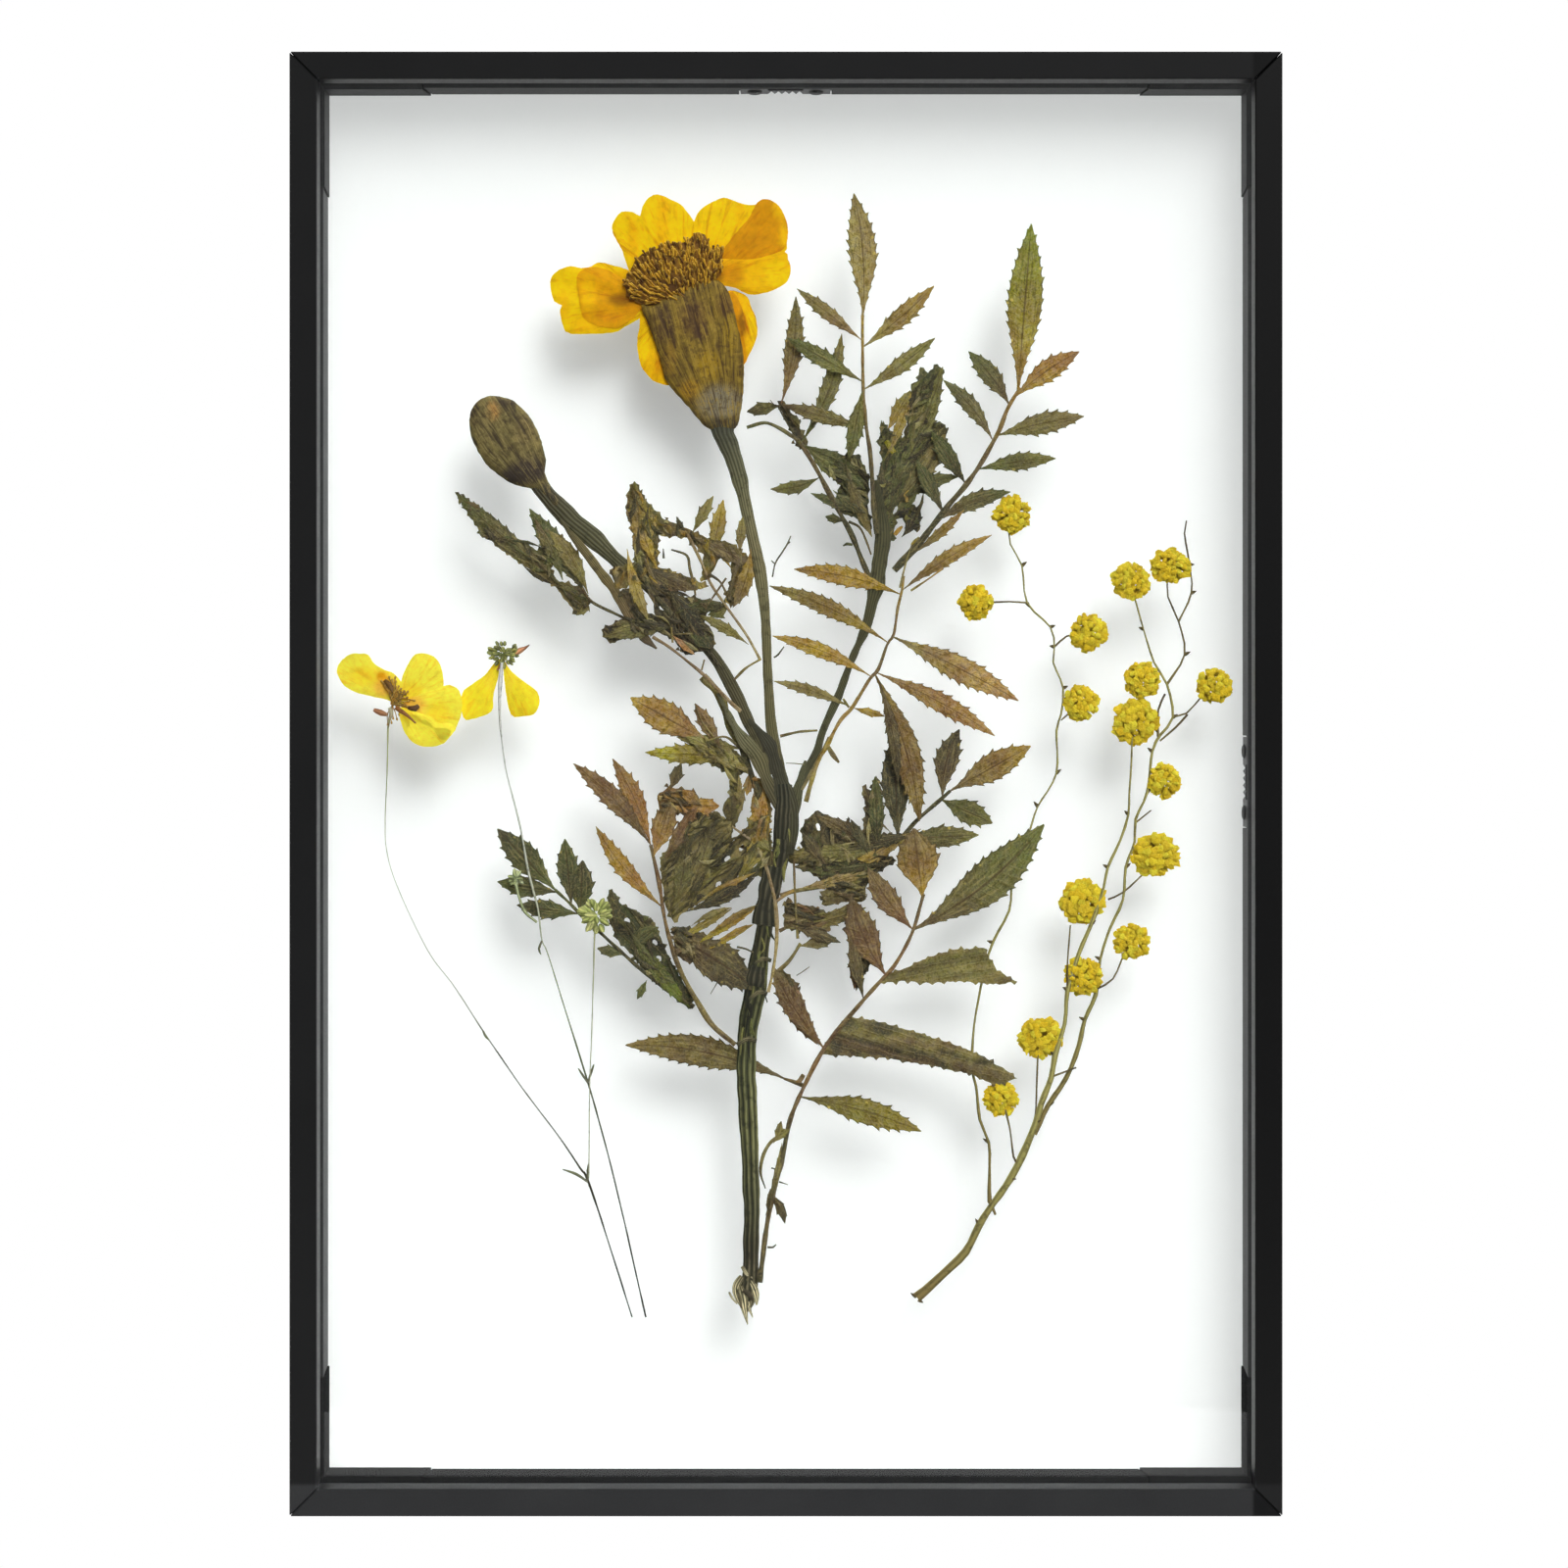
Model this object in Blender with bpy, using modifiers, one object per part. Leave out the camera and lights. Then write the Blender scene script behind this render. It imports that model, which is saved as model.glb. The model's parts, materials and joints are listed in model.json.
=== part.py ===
"""Pressed flower frame: a slim black picture frame with two clear panes and dried flowers between them.

The frame faces -Y, X runs to the right and Z up, and the origin is at the centre of the frame.
"""

import math

import bmesh
import bpy
from mathutils import Matrix, Vector

MM = 0.001
WELD = 0.001 * MM
FLAT_ANGLE = math.radians(1.0)

# Frame
OUTER_WIDTH = 210.5 * MM
OUTER_HEIGHT = 310.5 * MM
DEPTH = 20.0 * MM
FACE_WIDTH = 5.8 * MM
LIP_DEPTH = 5.7 * MM
RAIL_WALL = 2.0 * MM
GAP = 0.3 * MM
MITRE_GAP = 0.2 * MM
EDGE_ROUNDING = 0.25 * MM

# Panes and the space for the plants between them
PANE_THICKNESS = 1.0 * MM
PLANT_SPACE = 3.2 * MM
PANE_WIDTH = OUTER_WIDTH - 2 * (RAIL_WALL + GAP)
PANE_HEIGHT = OUTER_HEIGHT - 2 * (RAIL_WALL + GAP)
FRONT_PANE_AT = LIP_DEPTH + GAP
BACK_PANE_AT = FRONT_PANE_AT + PANE_THICKNESS + PLANT_SPACE

# Liner behind the rear pane
LINER_FRONT = BACK_PANE_AT + PANE_THICKNESS + GAP
LINER_BACK = DEPTH - 0.4 * MM
LINER_THICKNESS = FACE_WIDTH - RAIL_WALL - GAP
CORNER_PROUD = 0.3 * MM
CORNER_LEG = 27.0 * MM
JOINT_SLANT = 1.2 * MM

# Sawtooth hangers
HANGER_LENGTH = 19.5 * MM
HANGER_THICKNESS = 0.5 * MM
HANGER_SETBACK = 0.4 * MM
WINDOW_LENGTH = 7.6 * MM
WINDOW_DEPTH = 2.0 * MM
TOOTH_COUNT = 5
TOOTH_DEPTH = 3.4 * MM
TOOTH_BAR = 0.8 * MM
CAVITY_DEPTH = 2.6 * MM
RIVET_RADIUS = 1.7 * MM
RIVET_HEIGHT = 0.5 * MM
RIVET_SHANK = 0.8 * MM
RIVET_SPACING = 13.3 * MM
RIVET_SIDES = 10

# The plants are laid out on a picture plan: columns run right and rows run down.
PLAN_UNIT = 0.2076 * MM
PLAN_DISTANCE = 720.0 * MM
PLAN_CENTRE = (777.9, 703.7)
PLAN_CENTRE_X = -5.0 * MM
PLAN_CENTRE_Z = 20.0 * MM
PLANT_DEPTH = 8.5 * MM
PLANT_UNIT = PLAN_UNIT * (1 + PLANT_DEPTH / PLAN_DISTANCE)

# Depth of each layer of the plants behind the front of the frame
FRONT_LEAVES = 7.45 * MM
WATTLE_FRONT = 7.9 * MM
FLOWER_HEAD = 8.05 * MM
STEMS = 8.45 * MM
PETALS = 9.3 * MM
WATTLE_REAR = 9.4 * MM
REAR_LEAVES = 9.45 * MM
REAR_PETALS = 9.85 * MM

# Thickness of the dried pieces
LEAFLET_THICKNESS = 0.20 * MM
LEAFLET_STEP = 0.012 * MM
RACHIS_THICKNESS = 0.45 * MM
STEM_THICKNESS = 0.90 * MM
TWIG_THICKNESS = 0.55 * MM
HAIR_THICKNESS = 0.40 * MM
PETAL_THICKNESS = 0.25 * MM
HEAD_THICKNESS = 1.7 * MM
HEAD_ROUNDING = 0.35 * MM
BALL_THICKNESS = 1.2 * MM
BALL_SIDES = 9

COLOURS = {
    "rail": ((0.012, 0.012, 0.013), 0.45, 0.0),
    "glass": ((0.93, 0.96, 0.95), 0.02, 0.0),
    "liner": ((0.045, 0.045, 0.047), 0.5, 0.0),
    "hanger": ((0.06, 0.06, 0.062), 0.4, 0.7),
    "stem": ((0.09, 0.095, 0.045), 0.7, 0.0),
    "leaf": ((0.17, 0.15, 0.04), 0.7, 0.0),
    "brown leaf": ((0.30, 0.15, 0.04), 0.7, 0.0),
    "dark leaf": ((0.05, 0.06, 0.03), 0.7, 0.0),
    "marigold": ((0.90, 0.50, 0.01), 0.6, 0.0),
    "disc": ((0.18, 0.09, 0.01), 0.8, 0.0),
    "cup": ((0.26, 0.17, 0.03), 0.7, 0.0),
    "bud": ((0.20, 0.15, 0.05), 0.7, 0.0),
    "buttercup": ((0.96, 0.70, 0.04), 0.5, 0.0),
    "hair stem": ((0.35, 0.38, 0.22), 0.6, 0.0),
    "seed": ((0.45, 0.50, 0.16), 0.7, 0.0),
    "wattle": ((0.45, 0.34, 0.03), 0.8, 0.0),
}


def clear_scene():
    """Remove every object that the file opened with."""
    for old in list(bpy.data.objects):
        bpy.data.objects.remove(old, do_unlink=True)


def new_collection(name):
    """Add a collection to the scene."""
    collection = bpy.data.collections.new(name)
    bpy.context.scene.collection.children.link(collection)
    return collection


clear_scene()
PARTS = new_collection("pressed_flower_frame")
CUTTERS = new_collection("cutters")


def finish(name, piece, colour):
    """Name a piece, give it its own material and put it with the parts."""
    value, roughness, metallic = COLOURS[colour]
    material = bpy.data.materials.new(name)
    material.use_nodes = True
    shader = material.node_tree.nodes["Principled BSDF"]
    shader.inputs["Base Color"].default_value = (*value, 1.0)
    shader.inputs["Roughness"].default_value = roughness
    shader.inputs["Metallic"].default_value = metallic
    material.diffuse_color = (*value, 1.0)
    piece.name = name
    piece.data.name = name
    piece.data.materials.clear()
    piece.data.materials.append(material)
    for collection in list(piece.users_collection):
        collection.objects.unlink(piece)
    PARTS.objects.link(piece)
    return piece


def as_mesh(source):
    """Turn a curve, or an object with modifiers, into a plain mesh object with welded caps."""
    if source.name not in bpy.context.scene.collection.all_objects:
        PARTS.objects.link(source)
    graph = bpy.context.evaluated_depsgraph_get()
    mesh = bpy.data.meshes.new_from_object(source.evaluated_get(graph))
    welded = bmesh.new()
    welded.from_mesh(mesh)
    bmesh.ops.remove_doubles(welded, verts=welded.verts, dist=WELD)
    bmesh.ops.dissolve_limit(welded, angle_limit=FLAT_ANGLE, verts=welded.verts, edges=welded.edges)
    bmesh.ops.recalc_face_normals(welded, faces=welded.faces)
    welded.to_mesh(mesh)
    welded.free()
    piece = bpy.data.objects.new("piece", mesh)
    piece.matrix_world = source.matrix_world.copy()
    PARTS.objects.link(piece)
    bpy.data.objects.remove(source, do_unlink=True)
    return piece


def settle(piece, matrix):
    """Move a mesh by a matrix and leave its object at the origin."""
    piece.data.transform(matrix @ piece.matrix_world)
    piece.matrix_world = Matrix.Identity(4)
    return piece


def flat_curve(outlines, thickness, chamfer=0.0):
    """A flat solid in the XY plane from closed outlines; an outline inside another is a hole."""
    curve = bpy.data.curves.new("outline", "CURVE")
    curve.dimensions = "2D"
    curve.fill_mode = "BOTH"
    curve.extrude = thickness / 2 - chamfer
    curve.bevel_depth = chamfer
    curve.bevel_resolution = 0
    curve.offset = -chamfer
    for outline in outlines:
        spline = curve.splines.new("POLY")
        spline.points.add(len(outline) - 1)
        for point, (x, y) in zip(spline.points, outline):
            point.co = (x, y, 0.0, 1.0)
        spline.use_cyclic_u = True
    flat = bpy.data.objects.new("outline", curve)
    PARTS.objects.link(flat)
    return as_mesh(flat)


def box(name, size, centre, collection):
    """A box of a given size about a centre."""
    mesh = bpy.data.meshes.new(name)
    shape = bmesh.new()
    bmesh.ops.create_cube(shape, size=1.0, matrix=Matrix.Translation(centre) @ Matrix.Diagonal((*size, 1.0)))
    shape.to_mesh(mesh)
    shape.free()
    piece = bpy.data.objects.new(name, mesh)
    collection.objects.link(piece)
    return piece


def grow_together(pieces):
    """Join pieces that grew as one into a single closed body."""
    body = pieces[0]
    for other in pieces[1:]:
        modifier = body.modifiers.new("join", "BOOLEAN")
        modifier.operation = "UNION"
        modifier.object = other
    joined = as_mesh(body)
    for other in pieces[1:]:
        bpy.data.objects.remove(other, do_unlink=True)
    return joined


# Frame sides: the angle turns a piece made for the bottom side about Y.
SIDES = {
    "bottom": (0, OUTER_WIDTH, OUTER_HEIGHT),
    "left": (90, OUTER_HEIGHT, OUTER_WIDTH),
    "top": (180, OUTER_WIDTH, OUTER_HEIGHT),
    "right": (270, OUTER_HEIGHT, OUTER_WIDTH),
}


def to_side(side):
    """Matrix that carries a piece from the bottom side's frame, with Z = 0 at the outer face, to a side."""
    angle, _, across = SIDES[side]
    turn = Matrix.Rotation(math.radians(angle), 4, "Y")
    return turn @ Matrix.Translation((0, -DEPTH / 2, -across / 2))


def make_rail(side):
    """One mitred rail: a flat front bar with a thin outer wall behind it."""
    _, length, _ = SIDES[side]
    profile = [
        (0, 0),
        (FACE_WIDTH, 0),
        (FACE_WIDTH, LIP_DEPTH),
        (RAIL_WALL, LIP_DEPTH),
        (RAIL_WALL, DEPTH),
        (0, DEPTH),
    ]
    rail = flat_curve([profile], length)
    settle(rail, Matrix.Rotation(math.radians(-90), 4, "Y"))
    for vertex in rail.data.vertices:
        end = math.copysign(length / 2 - vertex.co.z - MITRE_GAP / 2, vertex.co.x)
        vertex.co.x = end
    settle(rail, to_side(side))
    finish(f"rail_{side}", rail, "rail")
    bevel = rail.modifiers.new("edges", "BEVEL")
    bevel.width = EDGE_ROUNDING
    bevel.segments = 1
    bevel.limit_method = "ANGLE"
    bevel.angle_limit = math.radians(50)


def make_pane(name, start):
    """One clear pane behind the lip."""
    centre = (0, start + PANE_THICKNESS / 2 - DEPTH / 2, 0)
    pane = box(name, (PANE_WIDTH, PANE_THICKNESS, PANE_HEIGHT), centre, PARTS)
    finish(name, pane, "glass")


def make_liner_strip(side, with_hanger):
    """A straight liner strip with slanted ends; a hanger is let into its inner face."""
    _, length, _ = SIDES[side]
    half = length / 2 - CORNER_LEG - GAP
    low = RAIL_WALL + GAP
    depth = LINER_BACK - LINER_FRONT
    centre = (0, LINER_FRONT + depth / 2, low + LINER_THICKNESS / 2)
    strip = box("strip", (2 * half, depth, LINER_THICKNESS), centre, PARTS)
    for vertex in strip.data.vertices:
        if vertex.co.y > LINER_FRONT + depth / 2:
            vertex.co.x -= math.copysign(JOINT_SLANT, vertex.co.x)
    settle(strip, to_side(side))
    finish(f"liner_strip_{side}", strip, "liner")
    if with_hanger:
        inner = low + LINER_THICKNESS
        pocket_depth = HANGER_THICKNESS + GAP
        pocket = box("pocket", (HANGER_LENGTH + 2 * GAP, 2 * depth, 2 * pocket_depth),
                     (0, LINER_FRONT + GAP + 2 * HANGER_SETBACK + depth, inner), CUTTERS)
        cavity = box("cavity", (WINDOW_LENGTH, 2 * depth, 2 * CAVITY_DEPTH),
                     (0, LINER_FRONT + 3 * HANGER_SETBACK + depth, inner), CUTTERS)
        for cutter in (pocket, cavity):
            settle(cutter, to_side(side))
            cutter.hide_render = True
            cutter.display_type = "WIRE"
            modifier = strip.modifiers.new("cut", "BOOLEAN")
            modifier.operation = "DIFFERENCE"
            modifier.object = cutter


def make_liner_corner(name, across, up):
    """An L-shaped corner of the liner, slightly proud of the strips, with slanted leg ends."""
    start = RAIL_WALL + GAP
    inner = start + LINER_THICKNESS + CORNER_PROUD
    outline = [
        (start, start),
        (CORNER_LEG, start),
        (CORNER_LEG, inner),
        (inner, inner),
        (inner, CORNER_LEG),
        (start, CORNER_LEG),
    ]
    depth = LINER_BACK - LINER_FRONT
    corner = flat_curve([outline], depth)
    for vertex in corner.data.vertices:
        at_back = vertex.co.z < 0
        for axis in (0, 1):
            if at_back and vertex.co[axis] > CORNER_LEG - GAP:
                vertex.co[axis] += JOINT_SLANT
    stand_up = Matrix.Rotation(math.radians(90), 4, "X")
    corner_at = Vector((-OUTER_WIDTH / 2, (LINER_FRONT + LINER_BACK) / 2 - DEPTH / 2, -OUTER_HEIGHT / 2))
    settle(corner, Matrix.Translation(corner_at) @ stand_up)
    if across > 0:
        settle(corner, Matrix.Scale(-1, 4, (1, 0, 0)))
    if up > 0:
        settle(corner, Matrix.Scale(-1, 4, (0, 0, 1)))
    if across * up < 0:
        corner.data.flip_normals()
    finish(name, corner, "liner")


def circle(centre, radius, sides):
    """Points of a circle in a plane."""
    steps = [2 * math.pi * step / sides for step in range(sides)]
    return [(centre[0] + radius * math.cos(turn), centre[1] + radius * math.sin(turn)) for turn in steps]


def make_hanger(side):
    """A flat sawtooth plate with a window in front of its teeth, held by two rivets."""
    front = LINER_FRONT + GAP + 3 * HANGER_SETBACK
    back = LINER_BACK - HANGER_SETBACK
    half = HANGER_LENGTH / 2
    teeth_half = WINDOW_LENGTH / 2
    pitch = WINDOW_LENGTH / TOOTH_COUNT
    outline = [(-half, front), (half, front), (half, back), (teeth_half, back)]
    for tooth in range(TOOTH_COUNT):
        right = teeth_half - tooth * pitch
        outline.append((right - pitch / 2, back - TOOTH_DEPTH))
        outline.append((right - pitch, back))
    outline.append((-half, back))
    window_back = back - TOOTH_DEPTH - TOOTH_BAR
    window = [
        (-teeth_half, window_back - WINDOW_DEPTH),
        (teeth_half, window_back - WINDOW_DEPTH),
        (teeth_half, window_back),
        (-teeth_half, window_back),
    ]
    middle = (front + back) / 2
    holes = [circle((end * RIVET_SPACING / 2, middle), RIVET_SHANK + GAP, RIVET_SIDES) for end in (-1, 1)]
    plate = flat_curve([outline, window, *holes], HANGER_THICKNESS)
    face = FACE_WIDTH - HANGER_THICKNESS / 2
    settle(plate, to_side(side) @ Matrix.Translation((0, 0, face)))
    finish(f"hanger_{side}", plate, "hanger")
    for number, end in enumerate((-1, 1), start=1):
        rivet_at = (end * RIVET_SPACING / 2, middle, FACE_WIDTH + GAP / 2)
        make_rivet(f"rivet_{side}_{number}", to_side(side) @ Matrix.Translation(rivet_at))


def make_rivet(name, matrix):
    """A domed rivet whose shank goes through the hanger plate."""
    profile = [(0.0, RIVET_HEIGHT)]
    for turn in (30, 60):
        angle = math.radians(turn)
        profile.append((RIVET_RADIUS * math.sin(angle), RIVET_HEIGHT * math.cos(angle)))
    profile += [
        (RIVET_RADIUS, 0.0),
        (RIVET_SHANK, 0.0),
        (RIVET_SHANK, -HANGER_THICKNESS - GAP / 2),
        (0.0, -HANGER_THICKNESS - GAP / 2),
    ]
    mesh = bpy.data.meshes.new(name)
    shape = bmesh.new()
    rim = [shape.verts.new((x, 0.0, z)) for x, z in profile]
    for first, second in zip(rim, rim[1:]):
        shape.edges.new((first, second))
    shape.to_mesh(mesh)
    shape.free()
    rivet = bpy.data.objects.new(name, mesh)
    PARTS.objects.link(rivet)
    screw = rivet.modifiers.new("turn", "SCREW")
    screw.steps = RIVET_SIDES
    screw.render_steps = RIVET_SIDES
    screw.use_merge_vertices = True
    screw.merge_threshold = WELD
    turned = as_mesh(rivet)
    settle(turned, matrix)
    finish(name, turned, "hanger")


def plan(column, row):
    """Place of a point of the picture plan, in the plane of the plants."""
    x = PLAN_CENTRE_X + (column - PLAN_CENTRE[0]) * PLANT_UNIT
    z = PLAN_CENTRE_Z + (PLAN_CENTRE[1] - row) * PLANT_UNIT
    return x, z


def stand_at(piece, layer):
    """Stand a flat piece upright in its layer of the plants."""
    upright = Matrix.Translation((0, layer - DEPTH / 2, 0)) @ Matrix.Rotation(math.radians(90), 4, "X")
    return settle(piece, upright)


def slab(points, layer, thickness, chamfer=0.0):
    """A flat dried piece with the outline of the given plan points."""
    return stand_at(flat_curve([[plan(*point) for point in points]], thickness, chamfer), layer)


# Half-widths of a leaflet along its length, as shares of its length and of its greatest half-width
LEAFLET_SHAPE = [(0.12, 0.28), (0.40, 0.97), (0.75, 0.78)]
PETIOLE_HALF = 0.9

# A leaflet starts on the rachis when its base is within this many rachis widths of it
JOINT_REACH = 3


def leaflet_outline(base, tip, width, bow):
    """A lance-shaped leaflet from its base to its tip, in plan points; its middle bows to the right."""
    start = Vector(base)
    along = Vector(tip) - start
    side = Vector((-along.y, along.x)).normalized()
    right = []
    left = []
    for share, half in [(0.0, PETIOLE_HALF * 2 / width), *LEAFLET_SHAPE]:
        middle = start + along * share + side * (bow * 4 * share * (1 - share))
        right.append(middle + side * half * width / 2)
        left.append(middle - side * half * width / 2)
    return [tuple(point) for point in [*right, Vector(tip), *reversed(left)]]


def nearest_on(line, point):
    """The nearest point to a plan point on a line of plan points."""
    target = Vector(point)
    best = Vector(line[0])
    for first, second in zip(line, line[1:]):
        start = Vector(first)
        along = Vector(second) - start
        share = max(0.0, min(1.0, (target - start).dot(along) / along.length_squared))
        nearest = start + along * share
        if (nearest - target).length < (best - target).length:
            best = nearest
    return best


def stalk(points, layer, thickness, sides=2):
    """A flattened stalk along plan points, each given as column, row and width."""
    curve = bpy.data.curves.new("stalk", "CURVE")
    curve.dimensions = "3D"
    curve.bevel_depth = PLANT_UNIT / 2
    curve.bevel_resolution = sides
    curve.use_fill_caps = True
    spline = curve.splines.new("POLY")
    spline.points.add(len(points) - 1)
    widest = max(point[2] for point in points)
    for point, (column, row, width) in zip(spline.points, points):
        x, z = plan(column, row)
        point.co = (x, 0.0, z, 1.0)
        point.radius = width
    line = bpy.data.objects.new("stalk", curve)
    PARTS.objects.link(line)
    tube = as_mesh(line)
    flatten = Matrix.Diagonal((1.0, thickness / (widest * PLANT_UNIT), 1.0, 1.0))
    return settle(tube, Matrix.Translation((0, layer - DEPTH / 2, 0)) @ flatten)


def with_width(points, width):
    """Give every point of a line the same width."""
    return [(*point, width) for point in points]


def make_leaf(name, layer, colour, rachis, leaflets, patches=(), width=5):
    """A divided leaf: its rachis, its leaflets and its crumpled patches, grown as one.

    A leaflet is given as base, tip, width and, where it isn't straight, the bow of its middle.
    Each leaflet is a little thicker than the one before it, so no two faces lie in one plane.
    """
    pieces = [stalk(with_width(rachis, width), layer, RACHIS_THICKNESS, sides=0)]
    thickness = LEAFLET_THICKNESS
    for base, tip, across, *bow in leaflets:
        joint = nearest_on(rachis, base)
        if (joint - Vector(base)).length > JOINT_REACH * width:
            joint = Vector(base)
        pieces.append(slab(leaflet_outline(joint, tip, across, sum(bow)), layer, thickness))
        thickness += LEAFLET_STEP
    for patch in patches:
        pieces.append(slab(patch, layer, thickness))
        thickness += LEAFLET_STEP
    finish(name, grow_together(pieces), colour)


def flower_ball(column, row, across, down, layer):
    """A round flower head pressed flat."""
    mesh = bpy.data.meshes.new("ball")
    shape = bmesh.new()
    bmesh.ops.create_uvsphere(shape, u_segments=BALL_SIDES, v_segments=4, radius=1.0)
    bmesh.ops.rotate(shape, verts=shape.verts, matrix=Matrix.Rotation(math.radians(90), 3, "X"))
    shape.to_mesh(mesh)
    shape.free()
    ball = bpy.data.objects.new("ball", mesh)
    PARTS.objects.link(ball)
    x, z = plan(column, row)
    size = Matrix.Diagonal((across * PLANT_UNIT, BALL_THICKNESS / 2, down * PLANT_UNIT, 1.0))
    return settle(ball, Matrix.Translation((x, layer - DEPTH / 2, z)) @ size)


def make_frame():
    """The rails, panes, liner and hangers."""
    hanger_sides = ("top", "right")
    for side in SIDES:
        make_rail(side)
        make_liner_strip(side, side in hanger_sides)
    make_pane("pane_front", FRONT_PANE_AT)
    make_pane("pane_back", BACK_PANE_AT)
    make_liner_corner("liner_corner_bottom_left", -1, -1)
    make_liner_corner("liner_corner_bottom_right", 1, -1)
    make_liner_corner("liner_corner_top_left", -1, 1)
    make_liner_corner("liner_corner_top_right", 1, 1)
    for side in hanger_sides:
        make_hanger(side)


def make_marigold_stems():
    """The main stem and the three stalks that fork from it."""
    main = [
        (800, 822, 17), (797, 870, 19), (790, 900, 18), (778, 957, 18), (771, 1008, 24), (764, 1047, 21),
        (762, 1075, 22), (763, 1130, 20), (766, 1185, 19), (767, 1239, 18), (766, 1294, 17),
        (764, 1316, 20), (763, 1334, 12), (762, 1349, 4),
    ]
    flower = [
        (738, 443, 22), (742, 452, 20), (752, 480, 17), (763, 526, 12), (776, 587, 13), (781, 633, 10),
        (784, 694, 10), (787, 740, 11), (794, 780, 13), (799, 811, 15),
    ]
    bud = [
        (560, 508, 19), (579, 527, 21), (602, 546, 20), (633, 575, 14), (651, 590, 11), (676, 614, 11),
        (697, 636, 11), (720, 660, 11), (735, 680, 12), (751, 709, 13), (764, 738, 12), (773, 757, 9),
    ]
    side = [
        (814, 806, 7), (832, 770, 8), (839, 748, 8), (855, 710, 8), (869, 674, 8), (883, 640, 9),
        (894, 604, 12), (903, 575, 22), (903, 549, 22), (899, 520, 16), (893, 490, 6),
    ]
    finish("marigold_stem", stalk(main, STEMS, STEM_THICKNESS), "stem")
    finish("marigold_flower_stalk", stalk(flower, STEMS, STEM_THICKNESS), "stem")
    finish("marigold_bud_stalk", stalk(bud, STEMS, STEM_THICKNESS), "stem")
    finish("marigold_side_branch", stalk(side, STEMS, STEM_THICKNESS), "stem")


def make_marigold_flower():
    """The open flower: the cup, the disc of small florets and six ray petals, and the closed bud."""
    cup = [
        (654, 316), (663, 335), (672, 361), (679, 387), (694, 402), (703, 412), (711, 424), (727, 436),
        (748, 436), (754, 424), (757, 404), (758, 378), (756, 352), (751, 326), (745, 302),
        (734, 290), (722, 289), (706, 293), (680, 306), (666, 313),
    ]
    disc = [
        (637, 290), (640, 301), (653, 307), (663, 303), (680, 296), (706, 283), (724, 279), (734, 264),
        (735, 256), (725, 252), (720, 242), (711, 238), (698, 247), (680, 249), (670, 256),
        (655, 259), (648, 268),
    ]
    bud = [
        (479, 428), (483, 415), (491, 407), (501, 404), (511, 405), (525, 410), (536, 420), (544, 431),
        (550, 443), (554, 456), (557, 469), (556, 483), (558, 495), (548, 500), (535, 498),
        (521, 493), (508, 484), (498, 476), (488, 461), (481, 445),
    ]
    finish("marigold_cup", slab(cup, FLOWER_HEAD, HEAD_THICKNESS, HEAD_ROUNDING), "cup")
    finish("marigold_disc", slab(disc, FLOWER_HEAD, HEAD_THICKNESS, HEAD_ROUNDING), "disc")
    finish("marigold_bud", slab(bud, FLOWER_HEAD, HEAD_THICKNESS, HEAD_ROUNDING), "bud")
    petals = {
        "petal_top_left": (PETALS, [
            (648, 280), (634, 254), (625, 237), (626, 225), (634, 216), (646, 216), (653, 220), (655, 211),
            (662, 201), (671, 198), (680, 201), (694, 208), (701, 216), (708, 226), (705, 237), (709, 252),
            (680, 270)]),
        "petal_top_right": (REAR_PETALS, [
            (700, 262), (703, 240), (708, 226), (714, 214), (726, 206), (738, 201), (749, 204), (760, 208),
            (773, 208), (782, 203), (792, 208), (800, 219), (804, 232), (803, 245), (800, 256), (770, 270),
            (725, 276)]),
        "petal_right": (PETALS, [
            (718, 262), (735, 260), (770, 262), (800, 256), (804, 264), (807, 275), (803, 287), (791, 295),
            (775, 300), (763, 300), (751, 294), (742, 290), (722, 284)]),
        "petal_left": (REAR_PETALS, [
            (561, 290), (563, 281), (570, 275), (582, 271), (593, 273), (603, 271), (610, 267), (625, 270),
            (641, 275), (660, 285), (668, 310), (651, 325), (637, 333), (625, 339), (582, 340),
            (574, 331), (571, 316), (565, 307)]),
        "petal_lower_left": (PETALS, [
            (658, 318), (651, 335), (650, 352), (654, 373), (663, 385), (670, 390), (682, 392), (700, 380),
            (690, 330)]),
        "petal_lower_right": (REAR_PETALS, [
            (740, 302), (760, 300), (767, 314), (771, 323), (773, 338), (769, 352), (764, 362), (759, 372),
            (745, 385), (735, 350)]),
    }
    for name, (layer, outline) in petals.items():
        finish(name, slab(outline, layer, PETAL_THICKNESS), "marigold")


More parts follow.
